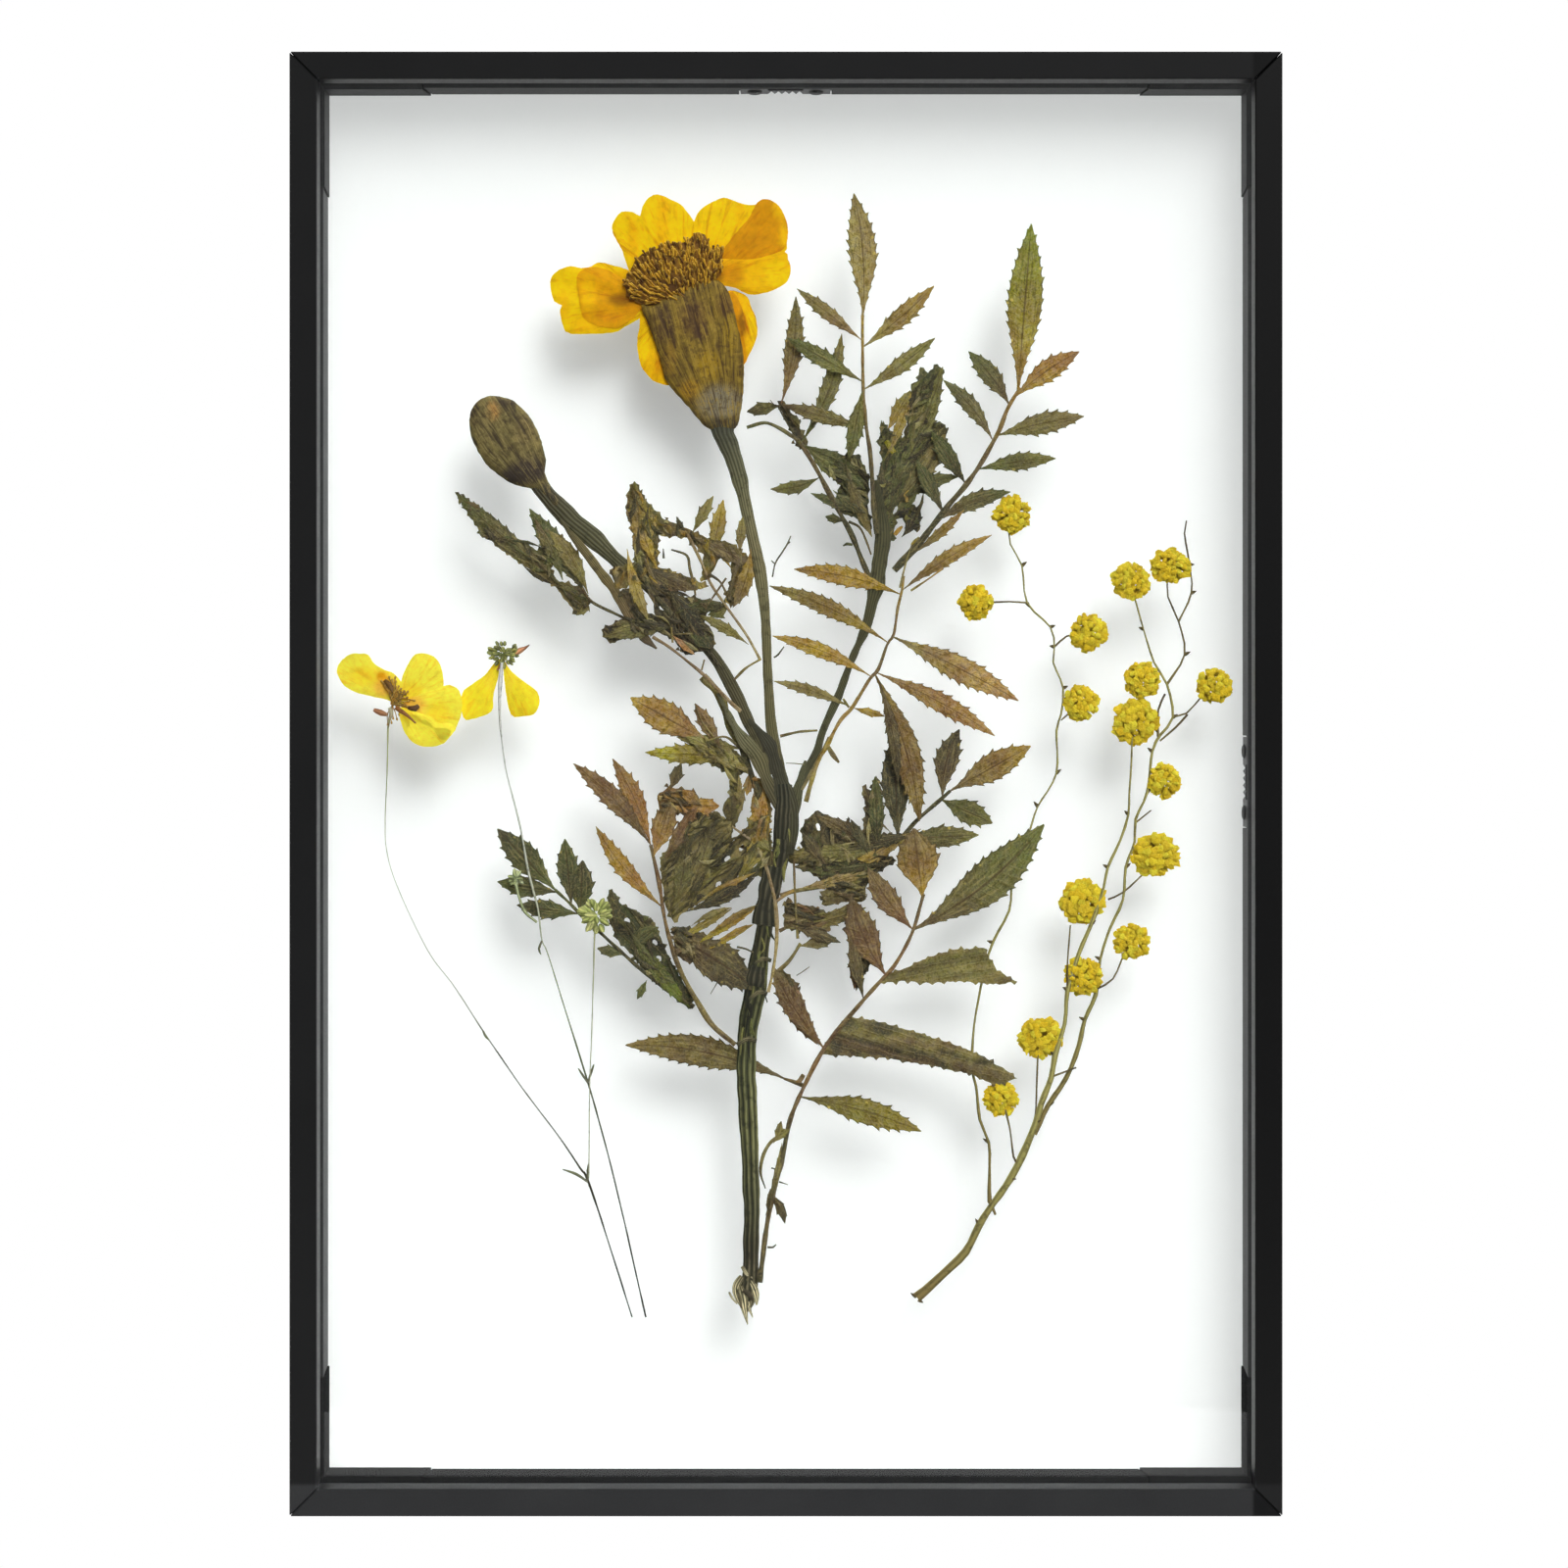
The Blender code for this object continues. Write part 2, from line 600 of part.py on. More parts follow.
def make_upper_leaves():
    """The leaves of the side branch."""
    make_leaf(
        "leaf_upper_middle", FRONT_LEAVES, "leaf",
        rachis=[(895, 545), (891, 508), (889, 480), (887, 459), (884, 438), (881, 403), (880, 366), (880, 322)],
        leaflets=[
            ((880, 325), (871, 198), 26, 5), ((878, 348), (813, 295), 13), ((883, 355), (953, 292), 17, 2),
            ((885, 398), (954, 345), 15, 2), ((879, 390), (803, 345), 16), ((883, 396), (866, 470), 15),
            ((883, 438), (798, 413), 14),
        ],
    )
    make_leaf(
        "leaf_upper_left", REAR_LEAVES, "leaf",
        rachis=[(893, 600), (880, 572), (868, 543), (859, 527), (849, 508), (836, 484), (817, 452), (807, 444),
                (794, 436), (780, 431), (762, 436)],
        leaflets=[
            ((797, 412), (812, 302), 17, 5), ((820, 450), (859, 340), 16, 8), ((797, 413), (762, 420), 12),
            ((820, 451), (885, 485), 15), ((836, 487), (786, 499), 12, -4), ((884, 525), (827, 503), 10),
            ((870, 527), (842, 527), 8),
        ],
        patches=[
            [(793, 408), (800, 409), (825, 451), (816, 459)],
            [(846, 469), (862, 464), (876, 463), (883, 478), (887, 490), (886, 515), (890, 540), (882, 540),
             (872, 526), (857, 524), (852, 508), (858, 495), (848, 484)],
        ],
    )
    make_leaf(
        "leaf_upper_right", FRONT_LEAVES, "leaf",
        rachis=[(912, 582), (934, 559), (948, 541), (967, 517), (985, 496), (1003, 470), (1018, 442), (1028, 418),
                (1041, 396)],
        leaflets=[
            ((1039, 401), (1052, 229), 33), ((1036, 406), (1101, 359), 20, -3), ((1030, 414), (988, 359), 18, 3),
            ((1008, 448), (962, 388), 15, 5), ((1022, 448), (1106, 425), 20, -2), ((1000, 482), (1077, 468), 16, -2),
            ((957, 534), (1031, 502), 16, -5), ((982, 492), (950, 440), 16), ((961, 521), (935, 470), 14),
        ],
    )
    make_leaf(
        "leaf_upper_curled", REAR_LEAVES, "dark leaf",
        rachis=[(905, 560), (908, 520), (912, 480), (925, 455), (936, 420), (944, 392)],
        leaflets=[((905, 440), (929, 398), 13)],
        patches=[
            [(899, 428), (906, 437), (914, 442), (921, 447), (927, 440), (925, 425), (930, 405), (930, 392),
             (937, 388), (939, 374), (947, 380), (957, 371), (964, 380), (955, 394), (949, 407), (946, 422),
             (942, 434), (952, 430), (965, 433), (964, 446), (972, 458), (979, 474), (980, 487), (969, 478),
             (958, 470), (946, 468), (942, 478), (948, 496), (955, 510), (942, 503), (934, 497), (930, 514),
             (938, 520), (939, 540), (926, 541), (921, 528), (914, 530), (912, 552), (899, 552), (896, 500),
             (900, 470), (898, 450)],
        ],
    )


def make_right_leaves():
    """The leaves to the right of the main stem."""
    make_leaf(
        "leaf_right_high", FRONT_LEAVES, "brown leaf",
        rachis=[(822, 818), (835, 777), (843, 763), (857, 736), (868, 724), (875, 713), (888, 692), (896, 683),
                (905, 658), (912, 647), (916, 620), (920, 603)],
        leaflets=[
            ((920, 603), (1012, 546), 13, -4), ((916, 606), (810, 581), 18, 5), ((903, 654), (785, 598), 16, 6),
            ((884, 686), (788, 649), 14, 5), ((866, 720), (789, 695), 10, 3), ((914, 652), (1039, 715), 24, -2),
            ((892, 685), (1015, 751), 18, -4), ((869, 722), (903, 731), 7), ((893, 688), (938, 838), 26, -8),
        ],
        width=4,
    )
    make_leaf(
        "leaf_right_middle", REAR_LEAVES, "brown leaf",
        rachis=[(800, 875), (840, 872), (880, 875), (913, 861), (935, 838), (960, 816), (970, 807)],
        leaflets=[
            ((970, 807), (1052, 761), 26), ((962, 818), (1013, 840), 22), ((960, 812), (979, 744), 22, -5),
            ((919, 858), (999, 852), 20), ((917, 858), (912, 750), 27),
        ],
        patches=[
            [(802, 869), (842, 862), (878, 860), (884, 868), (866, 884), (832, 885), (806, 881)],
            [(819, 870), (818, 845), (824, 835), (835, 827), (848, 837), (856, 847), (861, 845), (866, 833),
             (872, 852), (880, 862), (881, 845), (883, 822), (880, 802), (890, 807), (894, 791), (900, 806),
             (899, 830), (897, 853), (911, 849), (912, 866), (894, 878), (872, 882), (856, 888), (838, 892),
             (826, 884)],
        ],
    )
    make_leaf(
        "leaf_right_low", FRONT_LEAVES, "leaf",
        rachis=[(775, 1308), (779, 1280), (783, 1245), (793, 1201), (800, 1173), (808, 1138), (827, 1094),
                (849, 1058), (878, 1024), (900, 999), (913, 984), (931, 950), (942, 912)],
        leaflets=[
            ((942, 915), (932, 845), 40), ((937, 950), (1065, 841), 40, 10), ((930, 948), (885, 885), 22, -3),
            ((902, 993), (868, 915), 30, -5), ((875, 1015), (867, 955), 12), ((838, 1068), (788, 985), 20, -4),
            ((819, 1120), (940, 1154), 24, -4),
        ],
        patches=[
            [(902, 994), (925, 987), (944, 978), (972, 969), (1004, 967), (1010, 978), (1017, 990), (1038, 1002),
             (1016, 1004), (972, 1001), (948, 1003), (920, 1001), (899, 1003)],
            [(866, 1036), (873, 1038), (900, 1043), (960, 1061), (985, 1070), (1004, 1078), (1038, 1100),
             (1016, 1108), (992, 1096), (948, 1087), (900, 1079), (844, 1076), (838, 1072)],
        ],
    )
    make_leaf(
        "stem_leaf_upper", REAR_LEAVES, "brown leaf",
        rachis=[(796, 914), (812, 909), (842, 905)], leaflets=[((840, 905), (896, 891), 10)],
        patches=[[(836, 910), (870, 900), (884, 908), (882, 920), (858, 921), (842, 925)]],
    )
    make_leaf(
        "stem_leaf_middle", REAR_LEAVES, "brown leaf",
        rachis=[(795, 950), (812, 942), (841, 932)], leaflets=[((839, 932), (887, 933), 14)],
        patches=[[(800, 920), (832, 926), (845, 933), (848, 950), (825, 952), (800, 946)],
                 [(862, 930), (884, 938), (893, 975), (874, 1012), (868, 970)]],
    )
    make_leaf(
        "stem_leaf_lower", REAR_LEAVES, "brown leaf",
        rachis=[(794, 992), (806, 980), (817, 963)], leaflets=[((815, 966), (853, 958), 12)],
        patches=[[(796, 988), (812, 1002), (836, 1068), (812, 1040), (793, 1010)]], width=4,
    )


def make_left_leaves():
    """The leaves to the left of the main stem and on the bud's stalk."""
    make_leaf(
        "leaf_left_low", FRONT_LEAVES, "brown leaf",
        rachis=[(750, 1066), (725, 1043), (707, 1014), (690, 980), (680, 945), (674, 910), (670, 889), (664, 862)],
        leaflets=[
            ((664, 862), (585, 779), 19, 5), ((665, 862), (625, 774), 18, 4), ((672, 927), (608, 843), 16, -5),
            ((672, 873), (686, 815), 22), ((683, 955), (770, 1010), 38, -5), ((700, 958), (747, 927), 7),
            ((706, 966), (775, 923), 8), ((710, 974), (769, 943), 6), ((684, 806), (695, 779), 11),
            ((699, 824), (734, 822), 16),
        ],
        patches=[
            [(679, 925), (677, 905), (673, 875), (681, 868), (687, 858), (698, 850), (705, 832), (720, 828),
             (734, 830), (748, 842), (746, 860), (757, 852), (770, 838), (785, 830), (787, 880), (780, 893),
             (762, 896), (752, 907), (738, 905), (722, 915), (708, 924), (696, 932), (688, 942)],
            [(672, 825), (671, 812), (681, 803), (698, 805), (712, 822), (708, 840), (694, 829), (680, 832),
             (674, 848)],
            [(744, 850), (740, 830), (742, 814), (752, 812), (753, 838)],
            [(686, 945), (700, 946), (712, 950), (728, 956), (716, 975), (704, 984), (690, 975)],
        ],
    )
    make_leaf(
        "leaf_left_far", REAR_LEAVES, "dark leaf",
        rachis=[(708, 1028), (680, 1010), (655, 990), (632, 970), (608, 948), (596, 938), (581, 922), (566, 908)],
        leaflets=[
            ((567, 909), (507, 846), 26), ((569, 911), (507, 900), 19), ((590, 934), (527, 924), 17),
            ((583, 924), (576, 856), 20), ((594, 932), (594, 878), 22), ((636, 976), (609, 968), 10),
        ],
        patches=[
            [(619, 928), (621, 908), (628, 912), (632, 922), (652, 932), (668, 942), (675, 960), (686, 985),
             (696, 1001), (706, 1018), (706, 1030), (694, 1024), (668, 1000), (645, 975), (628, 958)],
        ],
    )
    make_leaf(
        "leaf_below_bud", REAR_LEAVES, "leaf",
        rachis=[(637, 631), (604, 614), (594, 600)],
        leaflets=[((596, 606), (540, 519), 22), ((598, 612), (585, 624), 8)],
        patches=[[(571, 566), (562, 580), (568, 592), (596, 600), (603, 616), (588, 627), (566, 598),
                  (545, 584), (512, 562), (488, 540), (464, 502), (490, 518), (520, 545), (548, 562), (560, 556)]],
    )
    make_leaf(
        "leaf_bud_stalk", FRONT_LEAVES, "brown leaf",
        rachis=[(650, 575), (668, 606), (690, 632), (712, 650), (733, 680)],
        leaflets=[
            ((706, 545), (728, 506), 10), ((726, 572), (738, 510), 14), ((754, 566), (758, 527), 9),
            ((700, 548), (690, 527), 5), ((722, 628), (742, 620), 14),
        ],
        patches=[
            [(640, 503), (647, 491), (652, 499), (662, 514), (678, 530), (706, 542), (722, 549), (748, 555),
             (767, 572), (768, 590), (757, 601), (746, 621), (741, 610), (746, 592), (746, 574), (735, 566),
             (724, 590), (715, 594), (718, 566), (701, 549), (672, 546), (671, 578), (700, 588), (724, 598),
             (712, 602), (680, 600), (652, 592), (630, 603), (622, 582), (648, 574), (646, 545), (640, 520)],
            [(652, 582), (672, 590), (690, 608), (714, 611), (727, 620), (712, 634), (727, 648), (731, 657),
             (718, 664), (700, 668), (686, 652), (668, 644), (664, 646), (656, 650), (635, 652), (622, 657),
             (614, 643), (634, 632), (650, 634), (640, 615), (630, 604), (642, 600), (655, 625), (668, 628),
             (666, 610)],
        ],
        width=6,
    )
    make_leaf(
        "leaf_fork_left", REAR_LEAVES, "brown leaf",
        rachis=[(717, 690), (734, 710), (746, 744), (756, 760), (768, 793), (776, 815), (773, 832)],
        leaflets=[
            ((722, 756), (643, 712), 30), ((745, 778), (658, 768), 18), ((743, 770), (690, 752), 14),
            ((736, 764), (709, 718), 14), ((756, 790), (762, 812), 8),
        ],
        patches=[
            [(716, 752), (732, 760), (752, 766), (764, 786), (754, 792), (753, 830), (748, 846), (744, 830),
             (745, 790), (722, 778)],
            [(768, 793), (783, 796), (787, 832), (777, 880), (760, 868), (756, 850), (772, 836)],
        ],
        width=9,
    )
    make_leaf(
        "leaf_behind_stem", REAR_LEAVES, "brown leaf",
        rachis=[(822, 1109), (800, 1101)], leaflets=[((801, 1101), (638, 1067), 29, 10)],
    )


def make_buttercups():
    """Two buttercups on hair-thin stems, a pale seed head and a small bud."""
    left_petals = [
        [(344, 686), (347, 676), (357, 668), (367, 667), (376, 668), (383, 676), (402, 687), (412, 700),
         (412, 714), (395, 716), (368, 708), (355, 702)],
        [(404, 712), (410, 694), (416, 679), (424, 668), (434, 667), (443, 670), (450, 679), (453, 700),
         (429, 714), (414, 722)],
        [(412, 718), (429, 708), (445, 703), (459, 699), (469, 705), (472, 719), (469, 735), (459, 748),
         (430, 730)],
        [(400, 712), (416, 712), (462, 738), (459, 753), (450, 760), (437, 762), (424, 759), (414, 748),
         (408, 732), (394, 732), (384, 726)],
    ]
    right_petals = [
        [(471, 708), (483, 697), (494, 689), (507, 672), (511, 684), (505, 700), (501, 726), (481, 734),
         (472, 732)],
        [(510, 676), (518, 680), (528, 689), (548, 706), (550, 719), (544, 729), (532, 731), (521, 729),
         (516, 702), (508, 690)],
        [(499, 662), (507, 656), (522, 657), (527, 662), (539, 659), (528, 667), (521, 677), (512, 681),
         (502, 675)],
    ]
    for name, layer, petals in (("buttercup_left", FRONT_LEAVES, left_petals),
                                ("buttercup_right", REAR_LEAVES, right_petals)):
        pieces = []
        for number, outline in enumerate(petals):
            pieces.append(slab(outline, layer, PETAL_THICKNESS + 3 * number * LEAFLET_STEP))
        finish(name, grow_together(pieces), "buttercup")
    left = [
        (399, 722), (396, 742), (395, 789), (393, 840), (395, 870), (406, 906), (436, 969), (463, 1006),
        (493, 1052), (532, 1109), (569, 1158), (592, 1192), (600, 1205), (622, 1271), (645, 1344),
    ]
    right = [
        (512, 676), (510, 726), (512, 754), (517, 789), (530, 840), (539, 889), (549, 928), (553, 959),
        (559, 973), (575, 1025), (600, 1105), (617, 1165), (632, 1225), (659, 1344),
    ]
    hair = 2.2
    finish("buttercup_stem_left", stalk(with_width(left, hair), STEMS, HAIR_THICKNESS, sides=0), "hair stem")
    finish("buttercup_stem_right", stalk(with_width(right, hair), STEMS, HAIR_THICKNESS, sides=0), "hair stem")
    seed_stalk = [(608, 945), (607, 953), (604, 1052), (602, 1105), (601, 1200)]
    bud_stalk = [(526, 900), (530, 915), (536, 930), (548, 941)]
    for name, line, centre, radius in (("seed_head", seed_stalk, (608, 934), 18),
                                       ("small_bud", bud_stalk, (527, 896), 8)):
        ball = flower_ball(*centre, radius, radius, FRONT_LEAVES + GAP)
        stem = stalk(with_width(line, hair), FRONT_LEAVES + GAP / 2, HAIR_THICKNESS, sides=0)
        finish(name, grow_together([ball, stem]), "seed")


def make_wattle():
    """The wattle sprig: a main stem and two branches with their round flower heads."""
    main_twigs = [
        [(935, 1323, 13), (944, 1316, 10), (969, 1293, 10), (985, 1277, 9), (999, 1250, 9), (1009, 1234, 9),
         (1031, 1202, 8), (1043, 1178, 8), (1056, 1145, 7), (1062, 1125, 6), (1072, 1099, 6), (1076, 1076, 6),
         (1086, 1045, 5), (1089, 1010, 5), (1100, 974, 5), (1113, 943, 5), (1126, 905, 4), (1130, 885, 4),
         (1143, 857, 4), (1151, 831, 4), (1152, 810, 4), (1154, 780, 4), (1155, 752, 3)],
        [(1025, 1130, 5), (1030, 1150, 3), (1034, 1180, 3), (1038, 1188, 3)],
        [(1059, 1070, 3), (1057, 1129, 3), (1056, 1143, 3)],
        [(1092, 944, 3), (1089, 984, 3), (1089, 1008, 3)],
        [(1072, 1099, 3), (1098, 1089, 3)],
    ]
    left_twigs = [
        [(1009, 1226, 5), (1010, 1190, 5), (1009, 1166, 4), (1000, 1143, 4), (996, 1109, 4), (992, 1089, 4),
         (994, 1048, 4), (1003, 997, 4), (1013, 962, 4), (1030, 929, 3), (1034, 897, 3), (1052, 844, 3),
         (1059, 823, 3), (1078, 789, 3), (1078, 746, 3), (1083, 729, 3), (1085, 702, 3), (1075, 676, 3),
         (1076, 660, 3), (1072, 640, 3), (1048, 615, 3), (1043, 577, 3), (1031, 555, 3), (1029, 530, 3)],
        [(1048, 615, 3), (1005, 615, 3)],
        [(1076, 660, 3), (1089, 649, 3), (1105, 646, 3)],
        [(1083, 735, 3), (1096, 724, 3)],
    ]
    right_twigs = [
        [(1056, 1158, 6), (1070, 1128, 6), (1088, 1101, 5), (1101, 1068, 5), (1107, 1041, 5), (1118, 1015, 5),
         (1123, 979, 4), (1133, 947, 4), (1146, 918, 4), (1149, 885, 4), (1158, 859, 4), (1159, 836, 4),
         (1171, 808, 4), (1176, 767, 4), (1184, 750, 4), (1197, 732, 4), (1191, 698, 4), (1178, 676, 3),
         (1167, 642, 3), (1157, 606, 3)],
        [(1182, 752, 4), (1182, 725, 3), (1189, 708, 3)],
        [(1191, 698, 4), (1209, 668, 3), (1203, 634, 3), (1192, 609, 3), (1192, 586, 3)],
        [(1203, 634, 3), (1216, 605, 3), (1214, 576, 3), (1209, 544, 3), (1211, 531, 3)],
        [(1197, 732, 4), (1211, 728, 3), (1228, 709, 3)],
        [(1166, 704, 3), (1171, 731, 3), (1182, 748, 3)],
        [(1169, 890, 3), (1146, 911, 3), (1131, 918, 3)],
        [(1149, 970, 3), (1136, 999, 3), (1120, 1009, 3)],
        [(1160, 839, 3), (1175, 827, 3)],
    ]
    main_balls = [(1159, 737, 23, 23), (1105, 920, 23, 23), (1105, 996, 19, 19), (1062, 1059, 23, 20),
                  (1022, 1121, 17, 17)]
    left_balls = [(1033, 525, 19, 19), (996, 615, 18, 18), (1111, 646, 19, 19), (1103, 717, 18, 18)]
    right_balls = [(1154, 593, 19, 19), (1194, 578, 20, 17), (1166, 694, 18, 18), (1239, 700, 18, 18),
                   (1188, 797, 17, 17), (1179, 872, 24, 21), (1155, 961, 18, 18)]
    branches = {
        "wattle_stem": (WATTLE_FRONT, main_twigs, main_balls),
        "wattle_branch_left": (WATTLE_REAR, left_twigs, left_balls),
        "wattle_branch_right": (WATTLE_REAR, right_twigs, right_balls),
    }
    for name, (layer, twigs, balls) in branches.items():
        pieces = []
        for number, twig in enumerate(twigs):
            pieces.append(stalk(twig, layer + number * LEAFLET_STEP, TWIG_THICKNESS, sides=0))
        for number, ball in enumerate(balls, start=1):
            pieces.append(flower_ball(*ball, layer - number * LEAFLET_STEP))
        finish(name, grow_together(pieces), "wattle")


make_frame()
make_marigold_stems()
make_marigold_flower()
make_upper_leaves()
make_right_leaves()
make_left_leaves()
make_buttercups()
make_wattle()
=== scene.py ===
import json
import math
import random

import bmesh
import bpy
from mathutils import Matrix, Vector, geometry, noise

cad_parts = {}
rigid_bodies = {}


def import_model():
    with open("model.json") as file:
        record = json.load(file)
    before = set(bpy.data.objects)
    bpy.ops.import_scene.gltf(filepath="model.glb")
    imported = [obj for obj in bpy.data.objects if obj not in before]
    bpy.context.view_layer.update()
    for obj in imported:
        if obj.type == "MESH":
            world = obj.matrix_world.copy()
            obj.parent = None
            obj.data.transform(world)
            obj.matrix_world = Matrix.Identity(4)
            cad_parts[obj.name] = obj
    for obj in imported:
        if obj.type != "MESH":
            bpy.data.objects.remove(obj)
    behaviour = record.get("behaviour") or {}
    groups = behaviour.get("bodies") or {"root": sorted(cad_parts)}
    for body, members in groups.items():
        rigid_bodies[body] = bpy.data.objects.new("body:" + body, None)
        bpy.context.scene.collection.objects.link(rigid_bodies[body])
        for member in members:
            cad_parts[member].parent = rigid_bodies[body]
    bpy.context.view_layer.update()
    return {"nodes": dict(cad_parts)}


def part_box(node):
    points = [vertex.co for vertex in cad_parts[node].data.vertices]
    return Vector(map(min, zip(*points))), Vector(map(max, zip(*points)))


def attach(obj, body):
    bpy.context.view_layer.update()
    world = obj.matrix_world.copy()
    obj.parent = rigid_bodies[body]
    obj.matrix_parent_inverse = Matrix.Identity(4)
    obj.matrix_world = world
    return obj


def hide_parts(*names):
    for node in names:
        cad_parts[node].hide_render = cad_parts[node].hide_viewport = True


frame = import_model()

nodes = frame["nodes"]


# The camera stands straight in front of the frame, a little above its middle, as in the photograph.
# Its lens takes in 332 mm across at the front of the frame.
lens = bpy.data.cameras.new("camera")
lens.sensor_width = 36.0
lens.lens = 78.0
lens.shift_x = 0.0138
lens.shift_y = -0.0602
lens.clip_start = 0.01
camera = bpy.data.objects.new("camera", lens)
camera.location = (-0.005, -0.730, 0.020)
camera.rotation_euler = (math.radians(90), 0.0, 0.0)
bpy.context.scene.collection.objects.link(camera)
bpy.context.scene.camera = camera


# A matt white card stands just behind the frame and takes the soft shadows of the dried plants.
# A pale floor lies below. The card is seen from its front only, so it doesn't hide the frame's back.
def put(tree, kind, inputs=(), **settings):
    """Add a node; an input is given as its socket and a value or another node's output."""
    made = tree.nodes.new(kind)
    for name, value in settings.items():
        setattr(made, name, value)
    for socket, value in inputs:
        if isinstance(value, bpy.types.NodeSocket):
            tree.links.new(value, made.inputs[socket])
        else:
            made.inputs[socket].default_value = value
    return made


def stage_plate(name, corners, colour, glow, one_sided):
    """A flat plate of the stage; a one-sided one is clear from behind."""
    mesh = bpy.data.meshes.new(name)
    mesh.from_pydata(corners, [], [(0, 1, 2, 3)])
    plate = bpy.data.objects.new(name, mesh)
    bpy.context.scene.collection.objects.link(plate)
    material = bpy.data.materials.new(name)
    material.use_nodes = True
    tree = material.node_tree
    shader = tree.nodes["Principled BSDF"]
    shader.inputs["Base Color"].default_value = (*colour, 1.0)
    shader.inputs["Roughness"].default_value = 0.9
    shader.inputs["Specular IOR Level"].default_value = 0.1
    shader.inputs["Emission Color"].default_value = (1.0, 1.0, 1.0, 1.0)
    shader.inputs["Emission Strength"].default_value = glow
    if one_sided:
        clear = put(tree, "ShaderNodeBsdfTransparent")
        behind = put(tree, "ShaderNodeNewGeometry")
        both = put(tree, "ShaderNodeMixShader",
                   [(0, behind.outputs["Backfacing"]), (1, shader.outputs[0]), (2, clear.outputs[0])])
        tree.links.new(both.outputs[0], tree.nodes["Material Output"].inputs["Surface"])
    mesh.materials.append(material)


stage_plate("card", [(-0.1045, 0.0135, -0.1545), (0.1045, 0.0135, -0.1545),
                     (0.1045, 0.0135, 0.1545), (-0.1045, 0.0135, 0.1545)], (0.95, 0.955, 0.95), 0.31, True)
stage_plate("floor", [(-0.6, -0.5, -0.24), (0.6, -0.5, -0.24), (0.6, 0.24, -0.24), (-0.6, 0.24, -0.24)],
            (0.86, 0.86, 0.86), 0.0, False)


# Soft studio light: one wide lamp from the upper right in front, and an even white room around.
# The room is pure white where it is seen straight on or through the panes, and dim in reflections.
# The frame itself keeps no lamp light off the card, which the photograph shows bright almost to its edges.
lamp_data = bpy.data.lights.new("softbox", "SUN")
lamp_data.energy = 0.98
lamp_data.angle = 0.45
lamp = bpy.data.objects.new("softbox", lamp_data)
lamp.rotation_euler = Vector((0.30, -1.0, 0.72)).to_track_quat("Z", "Y").to_euler()
bpy.context.scene.collection.objects.link(lamp)
world = bpy.data.worlds.new("white room")
bpy.context.scene.world = world
world.use_nodes = True
room = world.node_tree
path = put(room, "ShaderNodeLightPath")
bounces = put(room, "ShaderNodeMath", [(0, path.outputs["Diffuse Depth"]), (1, path.outputs["Glossy Depth"])])
first_sight = put(room, "ShaderNodeMath", [(0, bounces.outputs[0]), (1, 0.5)], operation="LESS_THAN")
clear_way = put(room, "ShaderNodeMath", [(0, path.outputs["Is Transmission Ray"]), (1, first_sight.outputs[0])],
                operation="MULTIPLY")
seen = put(room, "ShaderNodeMath", [(0, path.outputs["Is Camera Ray"]), (1, clear_way.outputs[0])],
           operation="MAXIMUM")
dimmed = put(room, "ShaderNodeMapRange", [(0, path.outputs["Is Glossy Ray"]), (3, 0.40), (4, 0.04)])
strength = put(room, "ShaderNodeMath", [(0, dimmed.outputs[0]), (1, seen.outputs[0])], operation="MAXIMUM")
background = room.nodes["Background"]
background.inputs["Color"].default_value = (1.0, 1.0, 1.0, 1.0)
room.links.new(strength.outputs[0], background.inputs["Strength"])
bpy.context.scene.view_settings.view_transform = "Standard"


# The four rails are extruded aluminium, cut to mitres at the corners and anodised black.
# The finish is satin, with a fine grain and a thin lighter line along the outer front edges, part wear and part
# painted highlight. Each side has its own tone and gloss; the tone is painted light and shade, lighter on the bottom
# rail and the inner side walls and darker on the right rail.
def new_finish(name):
    """A new material, its node tree and its shader."""
    material = bpy.data.materials.new(name)
    material.use_nodes = True
    return material, material.node_tree, material.node_tree.nodes["Principled BSDF"]


def speck(tree, vector, scale, detail=2.0, rough=0.5, distortion=0.0):
    """Even noise between 0 and 1."""
    made = put(tree, "ShaderNodeTexNoise", [("Vector", vector), ("Scale", scale), ("Detail", detail),
                                            ("Roughness", rough), ("Distortion", distortion)])
    return made.outputs[0]


def spread(tree, value, low, high, to_low=0.0, to_high=1.0):
    """Carry a range of values smoothly to another."""
    made = put(tree, "ShaderNodeMapRange", [(0, value), (1, low), (2, high), (3, to_low), (4, to_high)],
               interpolation_type="SMOOTHSTEP")
    return made.outputs[0]


def reckon(tree, operation, first, second=0.0, third=0.0):
    return put(tree, "ShaderNodeMath", [(0, first), (1, second), (2, third)], operation=operation).outputs[0]


def blend(tree, share, first, second, how="MIX"):
    """Mix two colours."""
    made = put(tree, "ShaderNodeMix", [(0, share), (6, first), (7, second)], data_type="RGBA", blend_type=how)
    return made.outputs[2]


def times(tree, first, second):
    return reckon(tree, "MULTIPLY", first, second)


def surface(tree, shader, colour, roughness, gloss, height, strength, distance):
    """Join colour, roughness and a low relief to a shader, and set how strongly it reflects."""
    tree.links.new(colour, shader.inputs["Base Color"])
    if isinstance(roughness, bpy.types.NodeSocket):
        tree.links.new(roughness, shader.inputs["Roughness"])
    else:
        shader.inputs["Roughness"].default_value = roughness
    shader.inputs["Specular IOR Level"].default_value = gloss
    made = put(tree, "ShaderNodeBump", [("Height", height), ("Strength", strength), ("Distance", distance)])
    tree.links.new(made.outputs[0], shader.inputs["Normal"])


